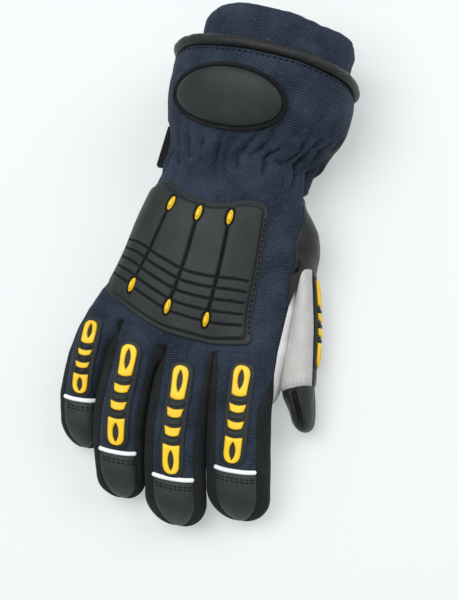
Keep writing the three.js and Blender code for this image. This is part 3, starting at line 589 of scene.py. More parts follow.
def new_piece(name, shape, material, nodes=(), thickness=None):
    """Makes the mesh and its object, welds its seams and poles, and tells the frame what it stands for."""
    mesh = bpy.data.meshes.new(name)
    faces = shape.faces
    mesh.vertices.add(len(shape.points))
    mesh.vertices.foreach_set("co", ((shape.points + TABLE_TO_PART) * MM).ravel())
    mesh.loops.add(faces.size)
    mesh.loops.foreach_set("vertex_index", faces.ravel())
    mesh.polygons.add(len(faces))
    mesh.polygons.foreach_set("loop_start", np.arange(0, faces.size, 4))
    mesh.update(calc_edges=True)
    layer = mesh.uv_layers.new(name="cloth")
    layer.data.foreach_set("uv", shape.flat[faces.ravel()].ravel())
    # How far down in a groove or fold each point lies, which the materials darken as painted shade.
    groove_shade = mesh.attributes.new("groove_shade", "FLOAT", "POINT")
    groove_shade.data.foreach_set("value", shape.groove_shade)
    work = bmesh.new()
    work.from_mesh(mesh)
    bmesh.ops.remove_doubles(work, verts=work.verts, dist=WELD)
    work.to_mesh(mesh)
    work.free()
    mesh.polygons.foreach_set("use_smooth", np.ones(len(mesh.polygons), bool))
    mesh.update()
    mesh.materials.append(material)
    piece = bpy.data.objects.new(name, mesh)
    bpy.context.scene.collection.objects.link(piece)
    if thickness:
        solid = piece.modifiers.new("wall", "SOLIDIFY")
        solid.thickness = thickness * MM
        solid.offset = -1
        solid.use_rim = True
    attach(piece, "root")
    if nodes:
        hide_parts(*nodes)
    return piece


# Materials

class Shade:
    """One output of a node. Arithmetic on it adds Math nodes to the same material."""

    def __init__(self, finish, socket):
        self.finish, self.socket = finish, socket

    def math(self, operation, *values):
        """A Math node on the values."""
        return self.finish.node("ShaderNodeMath", {"operation": operation}, values)

    def __add__(self, other):
        return self.math("ADD", self, other)

    def __radd__(self, other):
        return self.math("ADD", other, self)

    def __sub__(self, other):
        return self.math("SUBTRACT", self, other)

    def __rsub__(self, other):
        return self.math("SUBTRACT", other, self)

    def __mul__(self, other):
        return self.math("MULTIPLY", self, other)

    def __rmul__(self, other):
        return self.math("MULTIPLY", other, self)

    def __truediv__(self, other):
        return self.math("DIVIDE", self, other)

    def __pow__(self, other):
        return self.math("POWER", self, other)

    def __abs__(self):
        return self.math("ABSOLUTE", self)

    def sine(self):
        return self.math("SINE", self)

    def floor(self):
        return self.math("FLOOR", self)

    def between(self, low, high):
        """0 at low, 1 at high, smooth and held outside."""
        return self.finish.node("ShaderNodeMapRange", {"interpolation_type": "SMOOTHSTEP"},
                                {"Value": self, "From Min": low, "From Max": high})


class Finish:
    """A material and its node tree. node() adds every node: its type, its settings, which are set first,
    and the values or links of its sockets by name or number. It gives back one of the node's outputs."""

    def __init__(self, name):
        self.material = bpy.data.materials.new(name)
        self.material.use_nodes = True
        self.tree = self.material.node_tree
        self.tree.nodes.clear()

    def node(self, kind, settings=None, values=(), output=0):
        node = self.tree.nodes.new(kind)
        for key, value in (settings or {}).items():
            setattr(node, key, value)
        named = values.items() if isinstance(values, dict) else enumerate(values)
        for key, value in named:
            if isinstance(value, Shade):
                self.tree.links.new(value.socket, node.inputs[key])
            else:
                node.inputs[key].default_value = value
        return Shade(self, node.outputs[output]) if len(node.outputs) else None

    def flat(self):
        """The place on the flat cloth in millimetres, and its two parts across and along."""
        place = self.node("ShaderNodeUVMap", {"uv_map": "cloth"})
        return place, self.part(place, "X"), self.part(place, "Y")

    def place(self):
        """Object coordinates in millimetres."""
        coordinates = self.node("ShaderNodeTexCoord", output="Object")
        return self.node("ShaderNodeVectorMath", {"operation": "SCALE"},
                         {0: coordinates, "Scale": 1000.0})

    def groove_shade(self):
        """How far down in a groove or fold the surface lies, from 0 to 1: the share of painted shade there.
        """
        return self.node("ShaderNodeAttribute", {"attribute_name": "groove_shade"}, output="Fac")

    def part(self, vector, axis):
        """One of a vector's three numbers."""
        return self.node("ShaderNodeSeparateXYZ", {}, [vector], output=axis)

    def noise(self, vector, size, detail=2.0, rough=0.5):
        """Cloudy noise from 0 to 1, about that many millimetres across."""
        return self.node("ShaderNodeTexNoise", {}, {
            "Vector": vector, "Scale": 1 / size, "Detail": detail, "Roughness": rough})

    def cells(self, vector, size, feature="F1"):
        """Distance to the middle or to the edge of irregular cells, about that many millimetres across."""
        return self.node("ShaderNodeTexVoronoi", {"feature": feature},
                         {"Vector": vector, "Scale": 1 / size})

    def blend(self, share, low, high):
        """From one colour to another by a share."""
        return self.node("ShaderNodeMix", {"data_type": "RGBA", "clamp_factor": True},
                         {0: share, 6: low, 7: high}, output=2)

    def bump(self, height, depth, strength=1.0, under=None):
        """A bump of that depth in millimetres, over another bump if one is given."""
        values = {"Strength": strength, "Distance": depth * MM, "Height": height}
        if under is not None:
            values["Normal"] = under
        return self.node("ShaderNodeBump", {}, values)

    def surface(self, colour, roughness, normal=None, **plain):
        """Closes the material with one shader. plain holds values that are the same all over."""
        values = {"Base Color": colour, "Roughness": roughness, **plain}
        if normal is not None:
            values["Normal"] = normal
        shader = self.node("ShaderNodeBsdfPrincipled", {}, values)
        self.node("ShaderNodeOutputMaterial", {}, {"Surface": shader})
        return self.material


def paint(red, green, blue):
    """A colour given as eight-bit screen values, in the linear values that a shader takes."""
    screen = np.array([red, green, blue]) / 255
    linear = np.where(screen <= 0.04045, screen / 12.92, ((screen + 0.055) / 1.055) ** 2.4)
    return (*linear.tolist(), 1.0)


def woven(name, dark, middle, light, rib, dash, lean, depth, bloom):
    """Ribbed cloth: rows of short threads across the piece, each row half a thread on from the last, with
    cloudy changes of tone, a few paler threads, and painted shade in the valleys of its folds."""
    finish = Finish(name)
    place, across, along = finish.flat()
    object_place = finish.place()
    drift = finish.noise(place, 9.0, 2.0) * 1.2
    row = (along + across * lean + drift) / rib
    thread = (across + row.floor() * (dash / 2) + drift) / dash
    ridge = (row * TURN).sine() * 0.5 + 0.5
    bead = (thread * TURN).sine() * 0.5 + 0.5
    fuzz = finish.noise(object_place, 0.9, 3.0, 0.6)
    height = ridge * 0.5 + bead * ridge * 0.5 + fuzz * 0.4
    cloud = finish.noise(object_place, 22.0, 3.0, 0.55).between(0.32, 0.7)
    fleck = finish.noise(object_place, 1.4, 2.0, 0.7).between(0.55, 0.8)
    colour = finish.blend(height, dark, middle)
    colour = finish.blend(fleck * 0.8, colour, light)
    colour = finish.blend(cloud * 0.3, colour, light)
    # Painted shade: the dark colour laid into the valleys of folds.
    colour = finish.blend(finish.groove_shade() * 0.6, colour, dark)
    roughness = 0.92 - ridge * 0.08
    normal = finish.bump(height, depth, 0.9)
    return finish.surface(colour, roughness, normal, **{
        "Specular IOR Level": 0.15, "Sheen Weight": 0.22, "Sheen Roughness": 0.45, "Sheen Tint": bloom})


def hide(name, colour, shade, pale, grain, rough, depth, wear=0.25, **plain):
    """Leather: fine cells of grain, broader creases, a cloudy darker tone and paler, smoother wear, with
    painted shade in the valleys of its folds.
    """
    finish = Finish(name)
    place = finish.place()
    warp = finish.noise(place, grain * 4, 2.0)
    shifted = finish.node("ShaderNodeVectorMath", {"operation": "ADD"}, [place, warp])
    cells = finish.cells(shifted, grain, "DISTANCE_TO_EDGE").between(0.0, 0.22)
    crease = finish.noise(place, grain * 9, 4.0, 0.6)
    cloud = finish.noise(place, 16.0, 3.0, 0.55).between(0.35, 0.7)
    worn = finish.noise(place, 7.0, 3.0, 0.6).between(0.5, 0.75) * wear
    base = finish.blend(cloud * 0.6, shade, colour)
    base = finish.blend((1 - cells) * 0.35, base, shade)
    base = finish.blend(worn, base, pale)
    # Painted shade: the darker tone laid into the valleys of folds.
    base = finish.blend(finish.groove_shade() * 0.45, base, shade)
    roughness = rough - worn * 0.12 + crease * 0.12 - 0.06
    fine = finish.bump(cells, depth, 0.7)
    normal = finish.bump(crease, depth * 3, 0.5, fine)
    return finish.surface(base, roughness, normal, **plain)


def moulded(name, colour, shade, pale, rough, **plain):
    """Moulded rubber: an even colour with faint clouds, a fine pebble and paler scuffs, with near-black
    painted shade down in its grooves.
    """
    finish = Finish(name)
    place = finish.place()
    pebble = finish.noise(place, 0.55, 3.0, 0.6)
    cloud = finish.noise(place, 12.0, 3.0, 0.5).between(0.35, 0.7)
    scuff = finish.noise(place, 3.2, 4.0, 0.65).between(0.6, 0.78)
    base = finish.blend(cloud, shade, colour)
    base = finish.blend(scuff * 0.3, base, pale)
    # Painted shade: near black laid into the grooves and pockets.
    base = finish.blend(finish.groove_shade() * 0.85, base, paint(8, 9, 9))
    roughness = rough + pebble * 0.1 + scuff * 0.1 + finish.groove_shade() * 0.3 - 0.05
    normal = finish.bump(pebble, 0.06, 0.6)
    return finish.surface(base, roughness, normal, **plain)


def tape(name):
    """Reflective tape: bright cloth with a fine square weave of glass beads."""
    finish = Finish(name)
    place = finish.place()
    beads = finish.cells(place, 0.5).between(0.1, 0.6)
    dirt = finish.noise(place, 5.0, 3.0).between(0.45, 0.8)
    base = finish.blend(beads, paint(255, 255, 255), paint(236, 238, 240))
    base = finish.blend(dirt * 0.25, base, paint(205, 208, 210))
    normal = finish.bump(beads, 0.08, 0.5)
    return finish.surface(base, 0.42 + dirt * 0.15, normal)


def thread(name, colour, pale):
    """Waxed thread: fine, cloudy changes between two shades."""
    finish = Finish(name)
    place = finish.place()
    fibre = finish.noise(place, 0.35, 3.0, 0.7)
    base = finish.blend(fibre, colour, pale)
    normal = finish.bump(fibre, 0.05, 0.5)
    return finish.surface(base, 0.6 + fibre * 0.2, normal, **{"Specular IOR Level": 0.15})


MATERIALS = {
    "navy_fabric": woven("navy_fabric", paint(11, 16, 26), paint(44, 54, 70), paint(73, 86, 103),
                         1.35, 1.1, 0.16, 0.5, paint(120, 132, 150)),
    "navy_knit": woven("navy_knit", paint(12, 17, 28), paint(46, 55, 72), paint(74, 85, 104),
                       1.25, 0.95, 0.02, 0.5, paint(120, 132, 150)),
    "grey_leather": hide("grey_leather", paint(198, 197, 194), paint(183, 182, 179), paint(210, 209, 207),
                         0.9, 0.78, 0.12, 0.3),
    # Painted light: the palm's paler copy of the grey leather, lighter than the thumb's to stand in for light
    # on the palm's shaded edge.
    "lit_grey_leather": hide("lit_grey_leather", paint(226, 227, 226), paint(213, 214, 213), paint(236, 237, 236),
                         0.9, 0.78, 0.12, 0.3),
    "black_leather": hide("black_leather", paint(46, 51, 52), paint(38, 42, 43), paint(60, 64, 66),
                          0.8, 0.46, 0.08, 0.35, **{"Specular IOR Level": 0.35}),
    # Painted shade: a darker, slightly smoother copy of the black leather for the binding, saddle, underside
    # and the thumb's cap and back. Its darker colour stands in for shade on pieces that catch more light.
    "shaded_black_leather": hide("shaded_black_leather", paint(29, 32, 33), paint(21, 23, 24), paint(44, 48, 49),
                         0.8, 0.42, 0.1, 0.3, **{"Specular IOR Level": 0.32}),
    "black_fabric": woven("black_fabric", paint(12, 13, 13), paint(36, 39, 40), paint(54, 57, 58),
                          0.8, 0.8, 0.0, 0.2, paint(90, 94, 96)),
    "black_rubber": moulded("black_rubber", paint(45, 49, 50), paint(40, 44, 45), paint(56, 60, 62), 0.5,
                            **{"Specular IOR Level": 0.2}),
    "yellow_rubber": moulded("yellow_rubber", paint(244, 202, 28), paint(239, 193, 18), paint(249, 216, 76),
                             0.42),
    "reflective_white": tape("reflective_white"),
    "black_thread": thread("black_thread", paint(5, 5, 6), paint(16, 17, 18)),
    "grey_thread": thread("grey_thread", paint(150, 150, 148), paint(190, 190, 188)),
}


# Sewn panels

# How far an outer seam runs on before it turns over the knuckle, and how long it takes.
KNUCKLE_START = 14.0
KNUCKLE_RUN = 26.0
# How long a slit's round end is. Beside a slit the seam turns partly with the round end and partly with a
# slow opening: for a finger's left and right side, how far the opening runs and its share of the turn.
SLIT_END = 4
LEFT_OPENING = 26
RIGHT_OPENING = 62
LEFT_SHARE = 0.42
RIGHT_SHARE = 0.62


def finger_sheet(name, start, end_angles, end_from_tip, rows, outer):
    """A finger's part of a panel, on from a row of points: the distance from the tip runs evenly to its
    end, the angle turns from that of each start point to its end angle, and each ray is followed from the
    finger's centre line to the skin. An outer seam (outer is 1) turns evenly over the knuckle, and beside
    a slit (outer is 0) the seam opens round like the end of a spoon, then slowly."""
    limb = FINGERS[name]
    share = np.linspace(0, 1, rows)[:, None]
    start_from_tip = start[:, 1] - limb.tip
    from_tip = mix(start_from_tip, end_from_tip, share)
    first = limb.angle_of(start)
    first = np.where(first - end_angles > 180, first - 360, first)
    first = np.where(end_angles - first > 180, first + 360, first)
    gone = start_from_tip - from_tip
    round_end = np.sqrt(1 - (1 - np.clip(gone / SLIT_END, 0, 1)) ** 2)
    right_side = 0.5 + 0.5 * np.cos(np.radians(end_angles))
    opening = mix(ease(gone / LEFT_OPENING), np.clip(gone / RIGHT_OPENING, 0, 1), right_side)
    slit_turn = mix(round_end, opening, mix(LEFT_SHARE, RIGHT_SHARE, right_side))
    knuckle_turn = ease((gone - KNUCKLE_START) / KNUCKLE_RUN)
    angles = mix(first, end_angles, mix(slit_turn, knuckle_turn, outer))
    origins, arms = limb.rays(from_tip, angles)
    points = cast(origins, arms, OWN_SKIN[name])
    points[0] = start
    return points


FINGER_COLUMNS = {"index": 52, "middle": 52, "ring": 46, "pinky": 44}
COLUMN_STARTS = np.concatenate([[0], np.cumsum([FINGER_COLUMNS[name] for name in FINGER_NAMES])])
COLUMNS = COLUMN_STARTS[-1] + 1


def outer_share(name, share):
    """1 at the hand's two outer seams and 0 beside the slits."""
    return {"index": 1 - share, "pinky": share}.get(name, 0 * share)


def hand_sheet(right, left, top_y, end_y, end_share, rows, distance, slant=None):
    """The hand's part of a panel: rows run from top_y to the row that the fingers leave from, and the
    columns' shares of the way between the seams turn from even to that row's."""
    share = np.linspace(0, 1, rows)[:, None]
    y = mix(top_y, end_y, share)
    even = np.linspace(0, 1, end_share.size)
    spread = mix(even, end_share, ease(share * 1.1))
    return on_hand(y, mix(right(y), left(y), spread), distance, slant and slant(y))


def crotch_row(crotches, right, left, outer_y):
    """Angle shares and Y of the row that the fingers leave from, straight between the crotches."""
    numbers = np.arange(COLUMNS)
    y = np.interp(numbers, COLUMN_STARTS, [outer_y[0], *crotches["y"], outer_y[1]])
    nodes = [right(outer_y[0]), *crotches["angle"], left(outer_y[1])]
    angles = np.interp(numbers, COLUMN_STARTS, nodes)
    return y, (angles - right(y)) / (left(y) - right(y))


def fingers_beyond(hand, leave_y, spacing, seams, end_from_tip):
    """The four fingers' grids, on from the hand's last row: rows are about that spacing apart, seams gives
    a finger's right and left seam angle, and end_from_tip how far from the tip its grid ends."""
    sheets = {}
    for name, first in zip(FINGER_NAMES, COLUMN_STARTS):
        share = np.linspace(0, 1, FINGER_COLUMNS[name] + 1)
        start = hand[-1, first:first + FINGER_COLUMNS[name] + 1]
        angles, end = mix(*seams(name), share), end_from_tip(name, share)
        rows = int((leave_y.mean() - FINGER_ROWS[name]["tip"] - end.max()) / spacing)
        sheets[name] = finger_sheet(name, start, angles, end, rows, outer_share(name, share))
    return sheets


def panel_with_fingers(hand, sheets):
    """One panel of the hand's grid and the four fingers' grids, which share the row they leave from."""
    rows = hand.shape[0]
    index = grid_index(rows, COLUMNS)
    points, faces = [hand.reshape(-1, 3)], [quads(index)]
    places = flat_places(hand)
    places[..., 1] -= places[-1:, :, 1]
    across_last = distances_along(hand[-1])
    places[..., 0] = across_last
    flats = [places.reshape(-1, 2)]
    count = rows * COLUMNS
    for name, first in zip(FINGER_NAMES, COLUMN_STARTS):
        grid = sheets[name]
        columns = slice(first, first + FINGER_COLUMNS[name] + 1)
        own = grid_index(grid.shape[0] - 1, grid.shape[1], count)
        own = np.concatenate([index[-1:, columns], own])
        faces.append(quads(own))
        points.append(grid[1:].reshape(-1, 3))
        place = flat_places(grid)
        place[..., 0] = across_last[columns]
        flats.append(place[1:].reshape(-1, 2))
        count += grid[1:].shape[0] * grid.shape[1]
    return Shape(np.concatenate(points), np.concatenate(faces), np.concatenate(flats))


# Distances from a seam: the width of its valley, and where fullness, ripples and folds come to their height.
SEAM_WIDTH = 1.5
FULL_FROM = 7
RIPPLES_FROM = 5
FOLDS_FROM = 3
# How long the two kinds of ripple are, and the finer one's share of the height.
BROAD_RIPPLE = 26
FINE_RIPPLE = 9
FINE_SHARE = 0.4
# The depth of a fold whose valley gets the full painted shade, and the height under which nothing bulges
# towards the floor.
SHADED_DEPTH = 2.4
FLAT_BELOW = 0.6


def sewn(name, shape, material, nodes, distance, wrinkle, sink=0.8, puff=0.25, seed=1, folds=None):
    """A panel pulled down along its seams by a bell of the distance from its border, a little full between
    them, and gently rippled, with its own folds if it has any, whose valleys get painted shade."""
    if distance is not None:
        shape.facing(outward(shape.points, distance))
    normals = point_normals(shape)
    away = from_border(shape)
    height = puff * (1 - np.exp(-((away / FULL_FROM) ** 2))) - sink * np.exp(-((away / SEAM_WIDTH) ** 2))
    loose = np.clip(away / RIPPLES_FROM, 0, 1)
    height += wrinkle * ripples(shape.points, BROAD_RIPPLE, seed) * loose
    height += wrinkle * FINE_SHARE * ripples(shape.points, FINE_RIPPLE, seed + 50) * loose
    if folds is not None:
        more = folds(shape.points) * np.clip(away / FOLDS_FROM, 0, 1)
        height += more
        # Painted shade in the folds' valleys, by how far down each goes.
        shape.groove_shade = ease(-more / SHADED_DEPTH)
    height = np.where(shape.points[:, 2] < FLAT_BELOW, np.minimum(height, 0), height)
    shape.points = shape.points + normals * height[:, None]
    shape.points[:, 2] = np.maximum(shape.points[:, 2], 0.0)
    return new_piece(name, shape, material, nodes, thickness=WALL)


# The elastic's line, the folds' spacing, the power that rounds them and their mean height, and the heights
# of the folds and of the broader ones among them.
ELASTIC_Y = 61.0
GATHER_PITCH = 7.6
FOLD_POWER = 0.8
FOLD_MEAN = 0.62
FOLD_HEIGHT = 3.9
BROAD_FOLD_HEIGHT = 1.8
wrist_turns = np.arange(0, 361.0)
wrist_loop = HAND.arm(ELASTIC_Y + 0 * wrist_turns, wrist_turns)
wrist_arcs = distances_along(wrist_loop)


def gathers(points):
    """Folds of cloth drawn in by the elastic at the wrist: a power of the sine of u, the way round the wrist
    in folds, which gives rounded ridges with sharp valleys between. Above the elastic they lean out
    towards the gauntlet's edges, below it the other way. A noise sets how deep each is, and they fade out
    on both sides. The elastic's own line is drawn in by a bell."""
    y = points[:, 1]
    turn = HAND.angle_of(points)
    arc = np.interp(100, wrist_turns, wrist_arcs) - np.interp(turn, wrist_turns, wrist_arcs)
    arc = np.where(turn > 300, arc + wrist_arcs[-1], arc)
    above = y - ELASTIC_Y
    lean_above, lean_below = mix(-0.25, 0.55, ease((arc + 30) / 70)), mix(0.15, -0.5, ease((arc + 40) / 50))
    lean = np.where(above > 0, lean_above, lean_below)
    bend = lean * 9 * (1 - np.exp(-np.abs(above) / 9)) * np.sign(above) + lean * above * 0.35
    warp = 2.2 * ripples(points * [1, 0.6, 1], 24, 71) + 0.8 * ripples(points, 9, 72)
    u = (arc - bend + warp) / GATHER_PITCH
    ridge = np.abs(np.sin(np.pi * u)) ** FOLD_POWER - FOLD_MEAN
    broad = np.abs(np.sin(np.pi * (u * 0.53 + 0.04 * above + 0.3 * ripples(points, 18, 73)))) - 0.6
    strength = np.clip(0.75 + 0.45 * ripples(points, 15, 74), 0.15, 1.3)
    reach_up = mix(17, 32, ease((arc - 5) / 40)) + 6 * ripples(points, 20, 75)
    fade = ease(1.1 - above / reach_up) * ease(1.1 + above / 19)
    height = FOLD_HEIGHT * ridge * strength + BROAD_FOLD_HEIGHT * broad
    return (height + 0.9) * fade - 0.8 * np.exp(-((above / 5) ** 2))


# How far a cap's seam bows towards the tip.
CAP_BOW = 1.5


def cap_line(name, share):
    """Distance of a cap's seam from the tip: a parabola of the share of the way from right to left seam."""
    return FINGER_ROWS[name]["cap"] - CAP_BOW * (1 - (2 * share - 1) ** 2)


def palm_right(y):
    """The angle of the palm leather's right seam, counted on past the left one through the palm."""
    return 360 + SEAM["palm_right"](y)


# Y at the two outer seams of the row that the fingers leave from, on the back and on the palm.
BACK_LEAVE = (-42.0, -36.0)
PALM_LEAVE = (-42.0, -38.0)
back_y, back_share = crotch_row(BACK_CROTCHES, SEAM["back_right"], SEAM["back_left"], BACK_LEAVE)
rim_turns = np.linspace(SEAM["back_right"](RIM_Y), SEAM["back_left"](RIM_Y), COLUMNS)
back_hand = hand_sheet(SEAM["back_right"], SEAM["back_left"], RIM_Y - rim_drop(rim_turns), back_y,
                       back_share, 170, full_distance, row_slant)
back_fingers = fingers_beyond(back_hand, back_y, 1.3, lambda name: FINGER_ROWS[name]["seams"], cap_line)
sewn("navy_back", panel_with_fingers(back_hand, back_fingers), MATERIALS["navy_fabric"],
     ["back_panel"], full_distance, 0.4, seed=3, folds=gathers)

palm_y, palm_share = crotch_row(PALM_CROTCHES, palm_right, SEAM["palm_left"], PALM_LEAVE)
palm_hand = hand_sheet(palm_right, SEAM["palm_left"], WRIST_SEAM_Y, palm_y, palm_share, 60, body_distance)
palm_fingers = fingers_beyond(palm_hand, palm_y, 2.2, lambda name: (360 - PALM_SEAM, 180 + PALM_SEAM),
                              lambda name, share: 0 * share)
sewn("palm_leather", panel_with_fingers(palm_hand, palm_fingers), MATERIALS["lit_grey_leather"],
     ["palm_panel"], body_distance, 0.35, seed=5, folds=gathers)


def strip_beyond(name, start, end_angles, outer=0.0, spacing=1.5):
    """A side strip's way along a finger, from a row of points to the very tip."""
    length = start[:, 1].mean() - FINGERS[name].tip
    return finger_sheet(name, start, end_angles, 0 * end_angles, int(length / spacing), outer)


def stacked(first, second):
    """Two grids that share a row, as one shape."""
    return grid_shape(np.concatenate([first, second[1:]]))


# Black strips between the fingers: the right finger's side and the left finger's side, joined along the
# line down the end of the slit.
SIDE_COLUMNS = 16
for k, between in enumerate(["middle_index", "ring_middle", "pinky_ring"]):
    slit_top, slit_under = (on_hand(crotches["y"][k:k + 1], crotches["angle"][k:k + 1])[0]
                            for crotches in (BACK_CROTCHES, PALM_CROTCHES))
    down = mix(slit_top, slit_under, np.linspace(0, 1, SIDE_COLUMNS)[:, None])
    sides = []
    for name, seam, palm_seam in ((FINGER_NAMES[k], 1, 180 + PALM_SEAM),
                                  (FINGER_NAMES[k + 1], 0, -PALM_SEAM)):
        turn = np.linspace(FINGER_ROWS[name]["seams"][seam], palm_seam, SIDE_COLUMNS)
        side = grid_shape(strip_beyond(name, down, turn))
        sides.append(side.facing(outward(side.points, OWN_SKIN[name])))
    sewn("strip_" + between, joined(sides), MATERIALS["black_fabric"],
         ["side_" + between], None, 0.15, sink=0.6, puff=1.1, seed=20 + k)

# The strip down the index finger's outer side starts at the wrist, the little finger's below the knuckle.
PINKY_STRIP_START = -14.5
rows = np.linspace(0, 1, 60)[:, None]
columns = np.linspace(0, 1, SIDE_COLUMNS)
index_y = mix(WRIST_SEAM_Y, BACK_LEAVE[0], rows)
pinky_y = mix(PINKY_STRIP_START, mix(BACK_LEAVE[1], PALM_LEAVE[1], columns), rows[:16] / rows[15])
for name, side, y, seam, palm_seam, seed in (("index", "right", index_y, 0, -PALM_SEAM, 24),
                                             ("pinky", "left", pinky_y, 1, 180 + PALM_SEAM, 25)):
    beside_hand = on_hand(y, mix(SEAM["back_" + side](y), SEAM["palm_" + side](y), columns))
    turn = np.linspace(FINGER_ROWS[name]["seams"][seam], palm_seam, SIDE_COLUMNS)
    beside_finger = strip_beyond(name, beside_hand[-1], turn, 1.0)
    sewn(f"strip_{name}_outer", stacked(beside_hand, beside_finger), MATERIALS["black_fabric"],
         [f"side_{name}_outer"], body_distance, 0.3, seed=seed)

# The black underside of wrist and gauntlet.
rows = np.linspace(0, 1, 90)[:, None]
columns = np.linspace(0, 1, 200)
rim_turns = mix(SEAM["back_left"](RIM_Y), 360 + SEAM["back_right"](RIM_Y), columns)
y = mix(WRIST_SEAM_Y, RIM_Y - rim_drop(rim_turns), rows)
angles = mix(SEAM["back_left"](y), 360 + SEAM["back_right"](y), columns)
underside = on_hand(y, angles, slant=row_slant(y))
sewn("underside_leather", grid_shape(underside), MATERIALS["shaded_black_leather"],
     ["gauntlet_underside"], body_distance, 0.4, seed=26, folds=gathers)


# Fingertip caps of leather, with the piping that edges them

def on_finger(name, from_tip, share, height=0.0):
    """Places on a finger's back: distance from the tip and share of the way between the seams."""
    right, left = FINGER_ROWS[name]["seams"]
    origins, arms = FINGERS[name].rays(from_tip, mix(right, left, share))
    skin = cast(origins, arms, OWN_SKIN[name])
    return skin + outward(skin, OWN_SKIN[name]) * np.asarray(height)[..., None]


for name in FINGER_NAMES:
    columns = np.linspace(0, 1, 30)
    from_tip = mix(cap_line(name, columns), 0, np.linspace(0, 1, 24)[:, None])
    cap = on_finger(name, from_tip, columns + 0 * from_tip)
    sewn("tip_cap_" + name, grid_shape(cap), MATERIALS["black_leather"], ["cap_" + name],
         OWN_SKIN[name], 0.22, sink=0.5, puff=0.45, seed=30 + len(name))


def cord(path, out, radius, sides, flat):
    """A round cord along an open path, its ends drawn in to half balls. flat squeezes it towards the
    surface whose normals are given as out."""
    along = np.gradient(path, axis=0)
    along /= np.linalg.norm(along, axis=1, keepdims=True)
    side = np.cross(along, out)
    side /= np.linalg.norm(side, axis=1, keepdims=True)
    up = np.cross(side, along)
    gone = distances_along(path)
    end = np.minimum(gone, gone[-1] - gone) / radius
    girth = radius * np.sqrt(np.clip(1 - (1 - np.clip(end, 0, 1)) ** 2, 0.02, 1))
    turn = np.linspace(0, TURN, sides, endpoint=False)[None, :, None]
    arms = np.cos(turn) * side[:, None, :] + flat * np.sin(turn) * up[:, None, :]
    return tube(path[:, None, :] + girth[:, None, None] * arms)


PIPING_RADIUS = 1.3
PIPING_FLATNESS = 0.75
for name in FINGER_NAMES:
    share = np.linspace(0.01, 0.99, 50)
    line = on_finger(name, cap_line(name, share) + 1.0, share, 0.25)
    out = outward(line, OWN_SKIN[name])
    new_piece("piping_cord_" + name, cord(line, out, PIPING_RADIUS, 12, PIPING_FLATNESS).outside_out(),
              MATERIALS["reflective_white"], ["piping_" + name])


# The thumb, whose pieces are followed from its own centre line

def thumb_patch(from_tip, angles):
    """Places on the thumb by the distance from its tip and the angle round its centre line."""
    origins, arms = THUMB.rays(from_tip, angles)
    return cast(origins, arms, thumb_skin, reach=1.25)


def thumb_cap_line(x):
    """Y of the cap's seam, which slants straight across the thumb."""
    return -65.6 + 0.36 * (x - 54.3)


# Y of the saddle's edge over the thumb's leather, by X.
saddle_line = softened([54, 56, 57.7, 60.6, 64.5, 68], [-16, -9, -2.2, 3.8, 7, 8.5], 0.7)
# About how far from the thumb's tip the cap's seam and the saddle's edge lie, to start a search from, and
# how far the leather goes on under the saddle, but never further than its root.
CAP_GUESS = 22
SADDLE_GUESS = 94
UNDER_SADDLE = 3
LEATHER_END = 130


def meeting(angles, line, guess):
    """Distance from the thumb's tip where its skin meets a slanting line, by repeated trial."""
    from_tip = np.full(angles.shape, float(guess))
    for _ in range(12):
        points = thumb_patch(from_tip, angles)
        from_tip = mix(from_tip, line(points[..., 0]) - THUMB_TIP, 0.6)
    return from_tip


full_turn = np.linspace(0, 360, 121)
cap_end = meeting(full_turn, thumb_cap_line, CAP_GUESS)
cap_end[-1] = cap_end[0]
from_tip = mix(cap_end, 0, np.linspace(0, 1, 40)[:, None])
thumb_cap = thumb_patch(from_tip, full_turn + 0 * from_tip)
thumb_cap[:, -1] = thumb_cap[:, 0]


def pinched_seam(points):
    """The seam down the middle of the thumb's cap: a valley sunk far down between two full lips, each a bell
    of the distance from a slanting line. Its valley gets painted shade."""
    off = points[:, 0] - (63.4 - 0.36 * (points[:, 1] + 62))
    top = ease((points[:, 2] - 12) / 5) * ease((points[:, 1] + 85) / 9) * ease((-61 - points[:, 1]) / 2)
    return (-2.6 * np.exp(-((off / 1.0) ** 2)) + 1.1 * np.exp(-(((np.abs(off) - 2.6) / 1.6) ** 2))) * top


sewn("thumb_tip_cap", grid_shape(thumb_cap), MATERIALS["shaded_black_leather"], ["thumb_cap"],
     thumb_skin, 0.35, sink=0.4, puff=0.3, seed=41, folds=pinched_seam)


def thumb_part(name, node, angles, material, columns, seed):
    """A part of the thumb between its cap and the saddle, from one angle to another."""
    turn = np.linspace(*angles, columns)
    start = meeting(turn, thumb_cap_line, CAP_GUESS)
    end = np.minimum(meeting(turn, saddle_line, SADDLE_GUESS) + UNDER_SADDLE, LEATHER_END)
    from_tip = mix(start, end, np.linspace(0, 1, 70)[:, None])
    grid = thumb_patch(from_tip, turn + 0 * from_tip)
    sewn(name, grid_shape(grid), MATERIALS[material], [node], thumb_skin, 0.35, seed=seed)


thumb_part("thumb_outer_back", "thumb_back", (-50, 14), "shaded_black_leather", 30, 42)
thumb_part("thumb_leather", "thumb_palm", (14, 310), "grey_leather", 100, 43)


